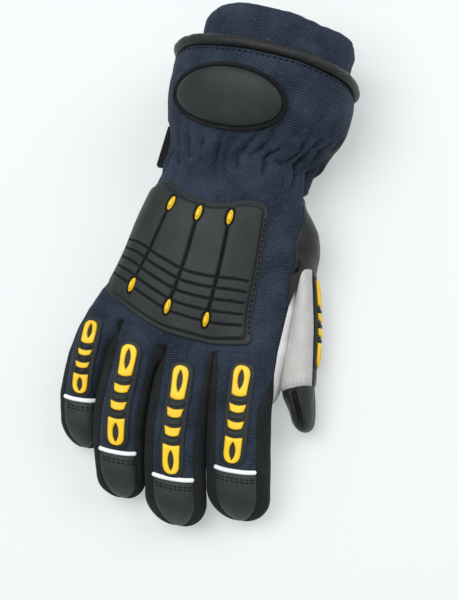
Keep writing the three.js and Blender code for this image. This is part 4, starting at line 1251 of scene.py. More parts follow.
# The saddle over the thumb's root, followed from the hand's centre line up to the navy panel's seam. Its
# lower edge is found by repeated trial.
SADDLE_LOW = -32.0
SADDLE_REACH = 2.2
SADDLE_LAP = 0.8
columns = np.linspace(0, 1, 60)
start = np.full(columns.shape, 12.0)
for _ in range(14):
    turn = mix(SADDLE_LOW, SEAM["back_right"](start) + SADDLE_LAP, columns)
    points = on_hand(start, turn, thumb_distance, reach=SADDLE_REACH)
    start = mix(start, np.clip(saddle_line(points[..., 0]), -24, 40), 0.5)
y = mix(start, WRIST_SEAM_Y, np.linspace(0, 1, 60)[:, None])
turn = mix(SADDLE_LOW, SEAM["back_right"](y) + SADDLE_LAP, columns)
saddle = on_hand(y, turn, thumb_distance, reach=SADDLE_REACH)
sewn("saddle_leather", grid_shape(saddle), MATERIALS["shaded_black_leather"], ["thumb_saddle"],
     thumb_distance, 0.3, sink=0.4, puff=0.5, seed=44, folds=gathers)


# The inner cuff: a thick knitted tube with a rolled rim, closed round inside the gauntlet.
KNIT_ROWS = table("y left right bottom top", [
    [97, 3.3, 3.3, 3.3, 3.3],
    [106, 3.3, 3.3, 3.3, 3.3],
    [114, 7, 4.2, 4.6, 5.5],
    [122, 10.5, 5.2, 6, 7],
    [131, 12, 5, 6.5, 7],
    [138, 11.5, 4.2, 5.5, 5.5],
    [142, 12, 4.8, 6, 6],
])
KNIT_THICKNESS = 4.2
KNIT_START = 99
KNIT_END = 144.2
OUTER_ROWS = 46
INNER_ROWS = 29
# The radius that the flat places round the knit are counted with.
KNIT_ROUND = 50


def rim_section(y):
    """The gauntlet's edges at Y, straight on from the last section beyond the rim."""
    y = np.minimum(y, RIM_Y)
    return HAND.x(y), HAND.z(y), HAND.width(y), HAND.height(y)


def knit_points(y, inset, turn):
    """Places on the knit: the gauntlet's superellipse, drawn in by the table's insets and by the depth into
    the knit's wall."""
    x, z, width, height = rim_section(y)
    inside = {key: np.interp(y, KNIT_ROWS["y"], KNIT_ROWS[key]) for key in KNIT_ROWS if key != "y"}
    x = x + (inside["left"] - inside["right"]) / 2
    z = z + (inside["bottom"] - inside["top"]) / 2
    width = width - (inside["left"] + inside["right"]) / 2 - inset
    height = height - (inside["bottom"] + inside["top"]) / 2 - inset
    dx = width * signed_power(np.cos(turn), 2 / HAND_POWER)
    dz = height * signed_power(np.sin(turn), 2 / HAND_POWER)
    return np.stack([x + dx, y + row_slant(np.minimum(y, RIM_Y)) * dx, z + dz], -1)


turn = np.linspace(0, TURN, 180, endpoint=False)
roll = np.radians(np.linspace(0, 180, 13))[1:]
half = KNIT_THICKNESS / 2
rolled = KNIT_END - half
profile_y = np.concatenate([np.linspace(KNIT_START, rolled, OUTER_ROWS), rolled + half * np.sin(roll),
                            np.linspace(rolled, KNIT_START, INNER_ROWS + 1)[1:]])
profile_in = np.concatenate([np.zeros(OUTER_ROWS), half * (1 - np.cos(roll)),
                             np.full(INNER_ROWS, KNIT_THICKNESS)])
knit = tube(knit_points(profile_y[:, None], profile_in[:, None], turn), ends=False)
flat = np.stack(np.broadcast_arrays(turn * KNIT_ROUND, profile_y[:, None] + profile_in[:, None]), -1)
flat = np.concatenate([flat, flat[:1]])
knit.flat = np.concatenate([flat, flat[:, :1] + [TURN * KNIT_ROUND, 0]], 1).reshape(-1, 2)
knit.outside_out()
knit_normals = point_normals(knit)
# A fold on top of the knit: a ridge with a valley beside it, each a bell of the distance from a slanting
# line.
beside = knit.points[:, 0] - (-4.6 + 0.48 * (knit.points[:, 1] - 125))
fold = 1.5 * np.exp(-((beside / 2.4) ** 2)) - 1.7 * np.exp(-(((beside + 4.6) / 2.8) ** 2))
fold *= ease(knit_normals[:, 2] * 2) * ease((knit.points[:, 2] - 50) / 15) * ease(
    (142 - knit.points[:, 1]) / 9)
full = 0.8 * ripples(knit.points, 34, 61) + 0.25 * ripples(knit.points, 9, 62) + fold
knit.points = knit.points + knit_normals * full[:, None]
# How far the knit's edge rises or dips, by X.
rim_rise = softened([-26, -16, -8.6, -4.3, -1.2, 5.5, 14, 24, 33, 43, 52, 61, 68, 76],
                    [-11, -7.2, -3.4, -1.6, -0.5, 0.8, 1.1, 2.3, 2.6, 0.9, 0.3, 1.8, 2.4, 2.4], 2.5)
knit.points[:, 1] += rim_rise(knit.points[:, 0]) * ease((knit.points[:, 1] - 104) / 32)
knit.points[:, 2] = np.maximum(knit.points[:, 2], 0.05)
new_piece("cuff_knit", knit, MATERIALS["navy_knit"], ["knit_cuff"])

# The rolled binding over the gauntlet's edge: a tube whose radius wavers a little on its way round.
BINDING_RADIUS = 3.6
BINDING_INSET = 1.2
BINDING_LAP = 0.3
BINDING_HEIGHT = 0.95
around = np.linspace(0, TURN, 18, endpoint=False)
turn = np.linspace(0, TURN, 220, endpoint=False)
drop = rim_drop(np.degrees(turn))[:, None]
x, z, width, height = rim_section(RIM_Y - drop)
girth = BINDING_RADIUS * (1 + 0.02 * np.sin(turn * 23) + 0.015 * np.sin(turn * 41 + 1))[:, None]
inset = BINDING_INSET + girth * np.cos(around)
dx = (width - inset) * signed_power(np.cos(turn), 2 / HAND_POWER)[:, None]
dz = (height - inset) * signed_power(np.sin(turn), 2 / HAND_POWER)[:, None]
rim_y = RIM_Y - drop + BINDING_LAP + girth * (1 + np.sin(around)) * BINDING_HEIGHT
rim_y = rim_y + row_slant(RIM_Y - drop) * dx
binding = tube(np.stack([x + dx, rim_y, np.maximum(z + dz, 0.05)], -1), ends=False).outside_out()
new_piece("binding_roll", binding, MATERIALS["shaded_black_leather"], ["cuff_binding"])

# The side tab: webbing folded once at its outer edge, both ends in the gauntlet's side seam. Two level
# layers, ribbed along the glove by a sine, are joined by a half round.
TAB = dict(low=55.0, high=80.0, out_low=-37.8, out_high=-35.0, root=-24.0, bottom=37.0, top=39.2,
           webbing=0.9)
TAB_RIB = 1.7
LAYER_COLUMNS = 24
y = np.linspace(TAB["low"], TAB["high"], 110)[:, None]
share = (y - TAB["low"]) / (TAB["high"] - TAB["low"])
outer_x = mix(TAB["out_low"], TAB["out_high"], share) + 0.9 * (1 - ease((y - TAB["low"]) / 1.4))
fold = (TAB["top"] - TAB["bottom"]) / 2
bend = np.radians(np.linspace(90, 270, 17))
x_layer = mix(TAB["root"], outer_x + fold, np.linspace(0, 1, LAYER_COLUMNS))
x_bend = outer_x + fold + fold * np.cos(bend[1:-1])
x = np.concatenate([x_layer, x_bend, x_layer[:, ::-1]], 1)
z = np.concatenate([np.full(LAYER_COLUMNS, TAB["top"]), TAB["bottom"] + fold + fold * np.sin(bend[1:-1]),
                    np.full(LAYER_COLUMNS, TAB["bottom"])]) + 0 * x
rib = 0.13 * np.sin(TURN * y / TAB_RIB) * np.sign(z - TAB["bottom"] - fold)
z = z + rib + 0.35 * np.sin(share * 2.4) * np.clip((x - outer_x) / 8, 0, 1)
tab_grid = np.stack([x, y + 0 * x, z], -1)
above_fold = np.stack([0 * x, 0 * x, z - TAB["bottom"] - fold], -1).reshape(-1, 3)
side_webbing = new_piece("side_webbing", grid_shape(tab_grid).facing(above_fold), MATERIALS["black_fabric"],
                         ["side_tab"], thickness=TAB["webbing"])


# Rings and points round each stitch, its middle's height over the cloth, and how far its ends bend down.
STITCH_RINGS = 7
STITCH_LIFT = 0.12
STITCH_BEND = 0.35


def stitches(path, out, length=1.8, pitch=2.9, radius=0.3):
    """Threads one after another along a path that lies on the cloth: each a small capsule, bent down by the
    cube of the way from its middle so that its ends go into the cloth. out gives the cloth's normals."""
    gone = distances_along(path)
    middles = np.arange(pitch / 2, gone[-1] - pitch / 2, pitch)

    def at(values, where):
        """Values at distances along the path."""
        return np.stack([np.interp(where, gone, values[:, axis]) for axis in range(3)], -1)

    centre, up = at(path, middles), at(out, middles)
    ahead = at(path, middles + 0.4) - at(path, middles - 0.4)
    ahead /= np.linalg.norm(ahead, axis=1, keepdims=True) + TINY
    side = np.cross(ahead, up)
    share = np.array([-1, -1, -0.6, 0, 0.6, 1, 1])[:, None]
    girth = radius * np.array([0, 0.5, 0.9, 1, 0.9, 0.5, 0])[:, None]
    turn = np.linspace(0, TURN, STITCH_RINGS)
    along = share * length / 2 + 0 * turn
    across = girth * np.cos(turn)
    height = STITCH_LIFT - STITCH_BEND * np.abs(share) ** 3 + girth * np.sin(turn)
    parts = [part[:, None, None, :] * value[None, ..., None]
             for part, value in ((ahead, along), (side, across), (up, height))]
    points = (centre[:, None, None, :] + parts[0] + parts[1] + parts[2]).reshape(-1, 3)
    first = STITCH_RINGS ** 2 * np.arange(len(middles))
    faces = quads(grid_index(STITCH_RINGS, STITCH_RINGS)) + first[:, None, None]
    return Shape(points, faces.reshape(-1, 4)).outside_out()


# Moulded pieces

def lifted(origins, arms, distance, height):
    """Places at a height over the skin: origins and arms find the place on it, and the height goes on along
    the skin's normal."""
    skin = cast(origins, arms, distance, start=0.3)
    return skin + outward(skin, distance) * np.asarray(height)[..., None]


# An arm's length over the limb's half size, and how far under the thumb's centre line its guard lies.
BEYOND_SKIN = 1.15
THUMB_GUARD_DROP = 2.0


def finger_ground(name, guard):
    """Places for a guard: across from its middle line and along from its knuckle end towards the tip."""
    limb, length = FINGERS[name], guard["start"] - guard["end"]

    def place(across, along, height):
        """Straight up from the centre line to the finger's back."""
        y = limb.tip + guard["start"] - along
        middle = mix(guard["offset_start"], guard["offset_end"], along / length)
        origins = limb.centre(y) + np.stack([across + middle, 0 * y, 0 * y], -1)
        arms = np.stack([0 * y, 0 * y, limb.height(y) * BEYOND_SKIN], -1)
        return lifted(origins, arms, OWN_SKIN[name], height)

    return place


def thumb_ground(guard):
    """The same for the thumb's guard, which faces +X and is lower towards both its ends."""

    def place(across, along, height):
        """Straight out in X from the centre line to the thumb's outer side."""
        y = THUMB_TIP + guard["start"] - along
        origins = THUMB.centre(y) + np.stack([0 * y, 0 * y, across - THUMB_GUARD_DROP], -1)
        arms = np.stack([THUMB.width(y) * BEYOND_SKIN, 0 * y, 0 * y], -1)
        share = np.clip(along / (guard["start"] - guard["end"]), 0, 1)
        swell = 0.45 + 0.55 * np.sqrt(4 * share * (1 - share))
        return lifted(origins, arms, thumb_distance, np.where(height > 0, height * swell, height))

    return place


def outline(half, start, end, round_start, round_end, hollow_start=0.0, hollow_end=0.0, taper=1.0,
            power=2.4, bend=12, side=10):
    """A closed loop of (across, along) round a bar or ring: two straight sides between two rounded ends of
    given depth. The ends' middles are moved along by the hollows, and the sides draw in by the taper."""
    turn = np.linspace(0, np.pi, 2 * bend + 1)
    c, s = signed_power(np.cos(turn), 2 / power), signed_power(np.sin(turn), 2 / power)
    straight = np.linspace(0, 1, side + 2)[1:-1]
    far, near = end - round_end, start + round_start
    across = np.concatenate([c, np.full(side, -1.0), -c, np.full(side, 1.0)]) * half
    along = np.concatenate([far + round_end * s, mix(far, near, straight), near - round_start * s,
                            mix(near, far, straight)])
    share = np.clip((along - start) / (end - start), 0, 1)
    bow = 1 - (across / half) ** 2
    along = along + bow * mix(hollow_start, hollow_end, share)
    return np.stack([across * mix(1, taper, share), along], -1)


def lens(outer, half, long, middle):
    """A pointed oval with one place for each place of the outer loop, in the same directions."""
    centre_along = outer[:, 1].mean()
    reach_across, reach_along = np.abs(outer[:, 0]).max(), np.abs(outer[:, 1] - centre_along).max()
    turn = np.arctan2((outer[:, 1] - centre_along) / reach_along, outer[:, 0] / reach_across)
    across = half * np.sign(np.cos(turn)) * (1 - np.abs(np.sin(turn)) ** 2.3)
    return np.stack([across, middle + long * np.sin(turn)], -1)


# The top of a raised ring, from its inner to its outer loop: how far it lies below its full height.
RING_SECTION = table("share drop", [
    [0.07, 0.2], [0.25, 0.0], [0.75, 0.0], [0.93, 0.2], [1.0, 0.7],
])


def raised(place, outer, inner, low, high, edge=0.55, crown=0.0):
    """A raised patch inside a loop, or a raised ring between two, with softened edges, as a closed skin.
    Each loop lies at a share of the way from the middle or the inner loop to the outer one. A patch's edge
    takes the width given, measured against the narrower way from its middle out."""
    if inner is None:
        inner = np.broadcast_to(outer.mean(0), outer.shape)
        off = np.abs(outer - inner)
        soft = edge / (off.min(0).max() + off.max(0).min())
        shares = [0.3, 0.65, 1 - 2.2 * soft, 1 - soft, 1 - 0.3 * soft, 1.0, 1.0, 0.7, 0.3]
        heights = [high + crown * 0.9, high + crown * 0.6, high, high - 0.12, high - 0.4, high - 0.8,
                   low, low, low]
        ends = True
    else:
        shares = [0.0, 0.0, *RING_SECTION["share"], 1.0]
        heights = [low, high - 0.7, *(high - RING_SECTION["drop"]), low]
        ends = False
    spots = [mix(inner, outer, share) for share in shares]
    loops = np.stack([place(spot[:, 0], spot[:, 1], np.full(len(spot), height))
                      for spot, height in zip(spots, heights)])
    return tube(loops, ends=ends).outside_out()


# Each guard: how far its knuckle end and its far end lie from the fingertip, how far its middle line is off
# the finger's at those ends, and its width.
GUARDS = {
    "pinky": dict(start=72.2, end=30.1, offset_start=-1.6, offset_end=1.8, width=8.0),
    "ring": dict(start=85.9, end=28.9, offset_start=1.1, offset_end=2.4, width=9.0),
    "middle": dict(start=88.5, end=28, offset_start=1.3, offset_end=1.3, width=9.2),
    "index": dict(start=85.1, end=30.9, offset_start=4, offset_end=-1.2, width=9.4),
    "thumb": dict(start=88.5, end=38.5, offset_start=0, offset_end=0, width=9),
}
# Heights over the skin: the black base, the yellow islands and the foot that they stand in, how much lower
# the black bars are, and the underside. The base is wider than the islands by the margin all round.
BASE_HEIGHT = 1.5
ISLAND_HEIGHT = 3.2
ISLAND_FOOT = 0.9
BAR_STEP = 0.3
SUNK = -0.9
GUARD_MARGIN = 2.4
# The bars and islands of a guard, by shares of its length from the knuckle's end.
BLACK_BARS = [(0.322, 0.374), (0.487, 0.545), (0.657, 0.711)]
YELLOW_BARS = {"upper": (0.385, 0.475), "lower": (0.557, 0.647)}
HEAD_END = 0.31
TAIL_START = 0.722


def yellow_island(name, which, node, shape):
    """One of a guard's yellow islands."""
    new_piece(f"guard_yellow_{which}_{name}", shape, MATERIALS["yellow_rubber"],
              [f"guard_{node}_{name}"])


for name, guard in GUARDS.items():
    place = thumb_ground(guard) if name == "thumb" else finger_ground(name, guard)
    length, half = guard["start"] - guard["end"], guard["width"] / 2
    base_loop = outline(half + GUARD_MARGIN, -GUARD_MARGIN, length + GUARD_MARGIN, half * 1.6, half * 1.6,
                        bend=14, side=60)
    black = [raised(place, base_loop, None, SUNK, BASE_HEIGHT, edge=0.6)]
    for start, end in BLACK_BARS:
        loop = outline(half, start * length, end * length, 0.5, 0.5, half * 0.26, half * 0.14, 0.92,
                       power=2.6, bend=8, side=4)
        black.append(raised(place, loop, None, SUNK, ISLAND_HEIGHT - BAR_STEP, edge=0.3))
    new_piece("guard_black_" + name, joined(black), MATERIALS["black_rubber"],
              ["guard_base_" + name])
    start, end = 0 * length, HEAD_END * length
    loop = outline(half, start, end, half * 1.25, 1.0, 0.0, half * 0.14, 0.84, bend=14, side=16)
    hole = lens(loop, half * 0.34, (end - start) * 0.34, mix(start, end, 0.47))
    yellow_island(name, "head", "head", raised(place, loop, hole, ISLAND_FOOT, ISLAND_HEIGHT))
    start, end = TAIL_START * length, 1 * length
    loop = outline(half, start, end, 0.9, half * 1.25, half * 0.3, 0.0, 0.96, bend=14, side=16)
    hole = lens(loop, half * 0.36, (end - start) * 0.34, mix(start, end, 0.56))
    yellow_island(name, "tail", "tail", raised(place, loop, hole, ISLAND_FOOT, ISLAND_HEIGHT))
    for which, (start, end) in YELLOW_BARS.items():
        loop = outline(half, start * length, end * length, 0.8, 0.7, half * 0.34, half * 0.16, 0.78,
                       power=2.6, bend=10, side=6)
        bar = raised(place, loop, None, ISLAND_FOOT, ISLAND_HEIGHT, edge=0.35)
        yellow_island(name, which, "bar_" + which, bar)


# The hand plate: a height field over its share across (right to left) and along (knuckle to wrist). Its
# ends are Y by the angle round the hand, the long grooves run between two angles, and the cross grooves
# between two shares of the plate's length, at its right edge and from its middle on.
PLATE_ENDS = table("angle knuckle wrist", [
    [38, -41.5, 32.5], [49, -43.6, 35.4], [57, -45, 36.8], [65, -46, 37.3], [73.5, -46.4, 35.5],
    [82.3, -45.6, 33.2], [89.4, -44.6, 32.3], [96.6, -42, 33.9], [109, -37, 36.8], [122, -32, 41],
    [130, -29.2, 43.4], [165, -20, 42.5],
])
LONG_GROOVES = table("wrist knuckle", [[77.2, 75.2], [93.3, 94.6], [112.4, 125.0]])
CROSS_GROOVES = table("right left", [
    [0.125, 0.165], [0.205, 0.24], [0.285, 0.32], [0.36, 0.40], [0.435, 0.475],
])
# The yellow lozenges: three near the wrist, then three near the knuckles, each leaning to +X by a slope.
OVALS = table("angle y lean", [
    [114.2, 29.1, 0.35], [93.5, 25.2, 0.2], [76.9, 25, 0.1],
    [122.6, -19.4, 0.35], [94.4, -28.9, 0.2], [75.5, -33.1, 0.1],
])
LOZENGE = dict(half_across=1.6, half_along=4.3, foot=1.2, height=4.0)
POCKET = dict(half_across=2.5, half_along=5.6)
# Heights over the skin and the grooves' half widths. A cross groove goes down only a share of the way.
PLATE_HEIGHT = 4.0
FLANGE_HEIGHT = 1.4
GROOVE_FLOOR = 1.9
LONG_GROOVE_WIDTH = 0.85
CROSS_GROOVE_WIDTH = 0.62
CROSS_GROOVE_DEPTH = 0.85
knuckle_end = softened(PLATE_ENDS["angle"], PLATE_ENDS["knuckle"], 4.0)
wrist_end = softened(PLATE_ENDS["angle"], PLATE_ENDS["wrist"], 2.5)


def plate_angle(across, along):
    """Angle round the hand by the shares across and along the plate."""
    return mix(mix(44.8, 48, along), mix(163, 157, along), across)


def lozenge_axes(k):
    """Middle on the skin, and unit vectors across, along and out, with the length leaning."""
    y, turn = OVALS["y"][k:k + 1], OVALS["angle"][k:k + 1]
    middle = on_hand(y, turn)[0]
    out = outward(middle[None], body_distance)[0]
    along = np.array([OVALS["lean"][k], 1.0, 0.0])
    along -= out * (along @ out)
    along /= np.linalg.norm(along)
    return middle, np.cross(along, out), along, out


def lozenge_frame(k, points):
    """How far points lie across and along from a lozenge's middle."""
    middle, across, along, _ = lozenge_axes(k)
    return (points - middle) @ across, (points - middle) @ along


# The grid's corners are drawn in, so that the plate's corners are round.
CORNER_ACROSS = 0.06
CORNER_ALONG = 0.08
rows, columns = 150, 200
c, s = np.meshgrid(np.linspace(0, 1, columns), np.linspace(0, 1, rows))
u = np.clip((CORNER_ACROSS - np.minimum(c, 1 - c)) / CORNER_ACROSS, 0, 1)
v = np.clip((CORNER_ALONG - np.minimum(s, 1 - s)) / CORNER_ALONG, 0, 1)
pull_c, pull_s = u * (1 - np.sqrt(1 - v * v / 2)), v * (1 - np.sqrt(1 - u * u / 2))
rounded_c = c + np.where(c < 0.5, 1, -1) * pull_c * CORNER_ACROSS
rounded_s = s + np.where(s < 0.5, 1, -1) * pull_s * CORNER_ALONG
angle = plate_angle(rounded_c, rounded_s)
y = mix(knuckle_end(angle), wrist_end(angle), rounded_s)
skin_points = on_hand(y, angle)
skin_normals = outward(skin_points, body_distance)
arc = np.cumsum(np.linalg.norm(np.diff(skin_points, axis=1, prepend=skin_points[:, :1]), axis=-1), axis=1)
length_mm = wrist_end(angle) - knuckle_end(angle)
to_side = np.minimum(arc, arc[:, -1:] - arc)
to_end = np.minimum(s, 1 - s) * length_mm
# A sewn flange runs round the raised part, which is lower on its left. A fine line is pressed in at its
# foot.
RIGHT_FLANGE = 3.6
LEFT_FLANGE = 2.6
END_FLANGE = 3.2
inside = smooth_min(to_side - np.where(c < 0.5, RIGHT_FLANGE, LEFT_FLANGE), to_end - END_FLANGE, 3.0)
height = FLANGE_HEIGHT + (PLATE_HEIGHT - FLANGE_HEIGHT) * ease(inside / 1.8 + 0.25)
height += 0.35 * ease((inside - 1) / 14)
height *= mix(1.0, 0.62, ease((c - 0.78) / 0.2))
height -= 0.5 * np.exp(-((inside + 0.9) / 0.5) ** 2)
edge = np.minimum(to_side, to_end)
height = np.where(edge < 0.9, height - 0.5 * (1 - edge / 0.9) ** 2, height)
# How far down each place lies, from 0 to 1: flat-bottomed bells of the distance from the grooves'
# lines. A long groove runs from lozenge to lozenge, and each lozenge sits in a pocket. The rubber is
# darkened by the same share as painted shade.
groove = np.zeros(c.shape)
for k, (low_oval, high_oval) in enumerate([(5, 2), (4, 1), (3, 0)]):
    line = mix(LONG_GROOVES["knuckle"][k], LONG_GROOVES["wrist"][k], rounded_s[:, columns // 2])
    off = arc - np.array([np.interp(line[i], angle[i], arc[i]) for i in range(rows)])[:, None]
    fade = ease((y - OVALS["y"][low_oval]) / 1.5) * ease((OVALS["y"][high_oval] - y) / 1.5)
    groove = np.maximum(groove, np.exp(-(off / LONG_GROOVE_WIDTH) ** 4) * fade)
for right_share, left_share in zip(CROSS_GROOVES["right"], CROSS_GROOVES["left"]):
    off = (rounded_s - mix(right_share, left_share, np.clip(c / 0.5, 0, 1))) * length_mm
    fade = ease((inside - 1.1) / 1.2)
    groove = np.maximum(groove, CROSS_GROOVE_DEPTH * np.exp(-(off / CROSS_GROOVE_WIDTH) ** 4) * fade)
for k in range(len(OVALS["y"])):
    across, along = lozenge_frame(k, skin_points)
    ring = np.hypot(across / POCKET["half_across"], along / POCKET["half_along"])
    groove = np.maximum(groove, ease((1.12 - ring) / 0.22))
height -= groove * (PLATE_HEIGHT - GROOVE_FLOOR)
top = skin_points + skin_normals * height[..., None]


def closed_field(top, skin, normals, groove_shade, sunk):
    """A grid of raised points, its underside inside the skin, and walls between their edges. The top
    carries the grooves' shares, for painted shade in them.
    """
    index = grid_index(*top.shape[:2])
    border = np.concatenate([index[0, :-1], index[:-1, -1], index[-1, :0:-1], index[:0:-1, 0]])
    under = skin + normals * sunk
    low, upper = under.reshape(-1, 3)[border], top.reshape(-1, 3)[border]
    skirt = np.stack([upper, low])
    skirt = np.concatenate([skirt, skirt[:, :1]], 1)
    out = upper - upper.mean(0)
    out = np.concatenate([out, out[:1]])
    wall = Shape(skirt.reshape(-1, 3), quads(grid_index(*skirt.shape[:2])))
    wall.facing(np.concatenate([out, out]))
    field = grid_shape(top).facing(normals.reshape(-1, 3))
    # The grooves' shares go with the top, for painted shade.
    field.groove_shade = groove_shade.ravel()
    return joined([field, wall, grid_shape(under).facing(-normals.reshape(-1, 3))])


PLATE_SUNK = -1.0
new_piece("plate_rubber", closed_field(top, skin_points, skin_normals, groove, PLATE_SUNK),
          MATERIALS["black_rubber"], ["hand_plate"])


def plate_place(k):
    """Places for a lozenge: across and along its own leaning axis."""
    middle, side, ahead, out = lozenge_axes(k)

    def place(across, along, height):
        """From inside the hand straight out to the skin."""
        spots = middle + across[:, None] * side + along[:, None] * ahead
        return lifted(spots - 12 * out, np.broadcast_to(15 * out, spots.shape), body_distance, height)

    return place


turn = np.linspace(0, TURN, 40, endpoint=False)
loop = np.stack([LOZENGE["half_across"] * signed_power(np.cos(turn), 1.2),
                 LOZENGE["half_along"] * np.sin(turn)], -1)
for k in range(len(OVALS["y"])):
    lozenge = raised(plate_place(k), loop, None, LOZENGE["foot"], LOZENGE["height"], edge=0.35, crown=0.5)
    new_piece(f"plate_lozenge_{k + 1}", lozenge, MATERIALS["yellow_rubber"],
              [f"plate_oval_{k + 1}"])


# The badge: a domed pad in a raised fabric border. Both are rings of points, the border's by inset and height
# and the pad's by their share of its size and their height.
BADGE = dict(x=8.5, y=91.2, half_across=34.7, half_along=17.9, tilt=-3.5)
BORDER_SECTION = table("inset height", [
    [0, -1.0], [0, 0.9], [0.12, 1.6], [0.5, 2.2], [1.0, 2.45], [1.5, 2.45], [2.0, 2.2], [2.38, 1.6],
    [2.5, 0.9], [2.5, -1.0],
])
PAD_SECTION = table("share height", [
    [0.06, -1.0], [0.4, -1.0], [0.7, -1.0], [0.9, -1.0], [1, -1.0], [1, 1.4], [0.985, 2.1], [0.95, 2.85],
    [0.88, 3.5], [0.76, 4.1], [0.6, 4.45], [0.4, 4.62], [0.2, 4.7], [0.06, 4.72],
])
PAD_INSET = 2.7


def badge_place(share_across, share_along, height, inset=0.0):
    """Places on the badge by the shares of its half width and half height, which an inset makes smaller."""
    tilt = np.radians(BADGE["tilt"])
    across = share_across * (BADGE["half_across"] - inset)
    along = share_along * (BADGE["half_along"] - inset)
    x = BADGE["x"] + across * np.cos(tilt) - along * np.sin(tilt)
    y = BADGE["y"] + across * np.sin(tilt) + along * np.cos(tilt)
    origins = np.stack([x, y, HAND.z(y)], -1)
    arms = np.stack([0 * x, 0 * x, HAND.height(y)], -1)
    return lifted(origins, arms, body_distance, height)


turn = np.linspace(0, TURN, 120, endpoint=False)
loops = np.stack([badge_place(np.cos(turn), np.sin(turn), height + 0 * turn, inset)
                  for inset, height in zip(BORDER_SECTION["inset"], BORDER_SECTION["height"])])
new_piece("badge_ring", tube(loops, ends=False).outside_out(), MATERIALS["black_fabric"],
          ["badge_border"])
loops = []
for share, height in zip(PAD_SECTION["share"], PAD_SECTION["height"]):
    inside_x = (BADGE["half_across"] - PAD_INSET) * share / BADGE["half_across"]
    inside_y = (BADGE["half_along"] - PAD_INSET) * share / BADGE["half_along"]
    loops.append(badge_place(np.cos(turn) * inside_x, np.sin(turn) * inside_y, height + 0 * turn))
badge_dome = new_piece("badge_dome", tube(np.stack(loops)).outside_out(), MATERIALS["black_rubber"],
                       ["badge_pad"])

# Rows of stitches: two across each cap, one under the binding, one down the plate's right flange, two
# across the end of the thumb's leather, and one round the badge.
cap_rows = []
share = np.linspace(0.07, 0.93, 60)
for name in FINGER_NAMES:
    for past_seam in (2.9, 4.6):
        line = on_finger(name, cap_line(name, share) - past_seam, share, 0.5)
        cap_rows.append(stitches(line, outward(line, OWN_SKIN[name])))
new_piece("cap_stitches", joined(cap_rows), MATERIALS["black_thread"])
angles = np.linspace(SEAM["back_right"](118) + 3, SEAM["back_left"](118) - 3, 260)
y = RIM_Y - 1.6 - rim_drop(angles)
line = on_hand(y, angles, full_distance, row_slant(y))
out = outward(line, full_distance)
new_piece("binding_stitches", stitches(line + 0.1 * out, out, 2.2, 3.5, 0.36),
          MATERIALS["black_thread"])
edge_share = np.linspace(0.06, 0.94, 200)
angle = plate_angle(0.0, edge_share)
y = mix(knuckle_end(angle), wrist_end(angle), edge_share)
line = on_hand(y, angle)
out = outward(line, body_distance)
ahead = np.gradient(line, axis=0)
ahead /= np.linalg.norm(ahead, axis=1, keepdims=True)
inward = np.cross(out, ahead)
inward *= np.sign(-inward[:, :1])
line = line + 1.7 * inward + (FLANGE_HEIGHT + 0.15) * out
new_piece("plate_stitches", stitches(line, out, 2.0, 3.1, 0.42),
          MATERIALS["black_thread"])
turn = np.linspace(28, 128, 90)
thumb_rows = []
for past_seam in (2.2, 3.9):
    line = thumb_patch(meeting(turn, thumb_cap_line, CAP_GUESS) + past_seam, turn)
    out = outward(line, thumb_skin)
    thumb_rows.append(stitches(line + 0.15 * out, out, 1.3, 2.3, 0.24))
new_piece("thumb_stitches", joined(thumb_rows), MATERIALS["grey_thread"])
turn = np.linspace(0, TURN, 240)
line = badge_place(np.cos(turn), np.sin(turn), np.full(240, 2.2), 0.8)
new_piece("badge_stitches", stitches(line, outward(line, body_distance), 1.7, 2.7),
          MATERIALS["black_thread"])

# The studio

# Half the floor's side, in metres, and the camera: what it aims at in the tables' place, its own three
# directions as the photograph was taken, and how far off it stands.
FLOOR_HALF = 6.0
CAMERA_AIM = np.array([18.0, -17.0, 30.0])
CAMERA_RIGHT = np.array([0.96264, 0.17116, -0.20983])
CAMERA_UP = np.array([-0.12831, 0.97070, 0.20315])
CAMERA_BACK = np.array([0.23846, -0.16864, 0.95640])
CAMERA_DISTANCE = 966.67
CAMERA_LENS = 100
CAMERA_FRAME = 36


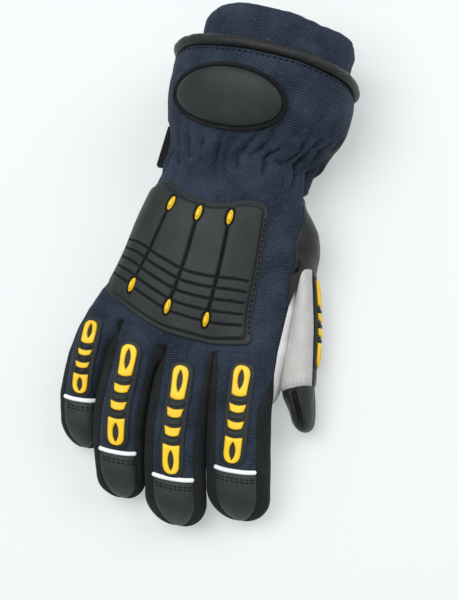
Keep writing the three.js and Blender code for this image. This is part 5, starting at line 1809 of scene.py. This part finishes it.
def pale_floor():
    """A wide level floor, pale, matt and faintly bright by itself."""
    finish = Finish("studio_floor")
    grain = finish.noise(finish.place(), 60.0, 2.0)
    base = finish.blend(grain * 0.1, (0.5, 0.519, 0.522, 1), (0.493, 0.51, 0.515, 1))
    finish.surface(base, 0.9, **{"Specular IOR Level": 0.0, "Emission Color": (0.95, 0.985, 0.99, 1),
                                 "Emission Strength": 0.333})
    mesh = bpy.data.meshes.new("studio_floor")
    corners = [(-FLOOR_HALF, -FLOOR_HALF, 0), (FLOOR_HALF, -FLOOR_HALF, 0), (FLOOR_HALF, FLOOR_HALF, 0),
               (-FLOOR_HALF, FLOOR_HALF, 0)]
    mesh.from_pydata(corners, [], [(0, 1, 2, 3)])
    mesh.materials.append(finish.material)
    floor = bpy.data.objects.new("studio_floor", mesh)
    bpy.context.scene.collection.objects.link(floor)


def sky():
    """Even light from all round."""
    world = bpy.data.worlds.new("studio")
    bpy.context.scene.world = world
    world.use_nodes = True
    background = world.node_tree.nodes["Background"]
    background.inputs["Color"].default_value = (0.95, 0.98, 1.0, 1)
    background.inputs["Strength"].default_value = 0.5


def soft_lamp(name, place, aim, size, power):
    """A round lamp at a place, turned to its aim, both in metres."""
    data = bpy.data.lights.new(name, "AREA")
    data.shape = "DISK"
    data.size = size
    data.energy = power
    light = bpy.data.objects.new(name, data)
    bpy.context.scene.collection.objects.link(light)
    light.location = place
    light.rotation_euler = (Vector(aim) - Vector(place)).to_track_quat("-Z", "Y").to_euler()


def photo_camera():
    """The camera at the photograph's angle. Its matrix has its directions as columns and its place."""
    camera = bpy.data.objects.new("camera", bpy.data.cameras.new("camera"))
    camera.data.lens = CAMERA_LENS
    camera.data.sensor_fit = "VERTICAL"
    camera.data.sensor_height = CAMERA_FRAME
    camera.data.clip_start = 0.05
    matrix = np.eye(4)
    matrix[:3, :3] = np.stack([CAMERA_RIGHT, CAMERA_UP, CAMERA_BACK], 1)
    matrix[:3, 3] = (CAMERA_AIM + TABLE_TO_PART + CAMERA_BACK * CAMERA_DISTANCE) * MM
    camera.matrix_world = Matrix(matrix.tolist())
    bpy.context.scene.collection.objects.link(camera)
    bpy.context.scene.camera = camera
    bpy.context.scene.view_settings.view_transform = "Standard"


pale_floor()
sky()
soft_lamp("overhead", (-0.3, 0.14, 1.4), (0, 0, 0.03), 1.2, 14)
soft_lamp("fill", (0.9, 0.7, 1.0), (0, 0, 0.03), 1.0, 7.5)
photo_camera()
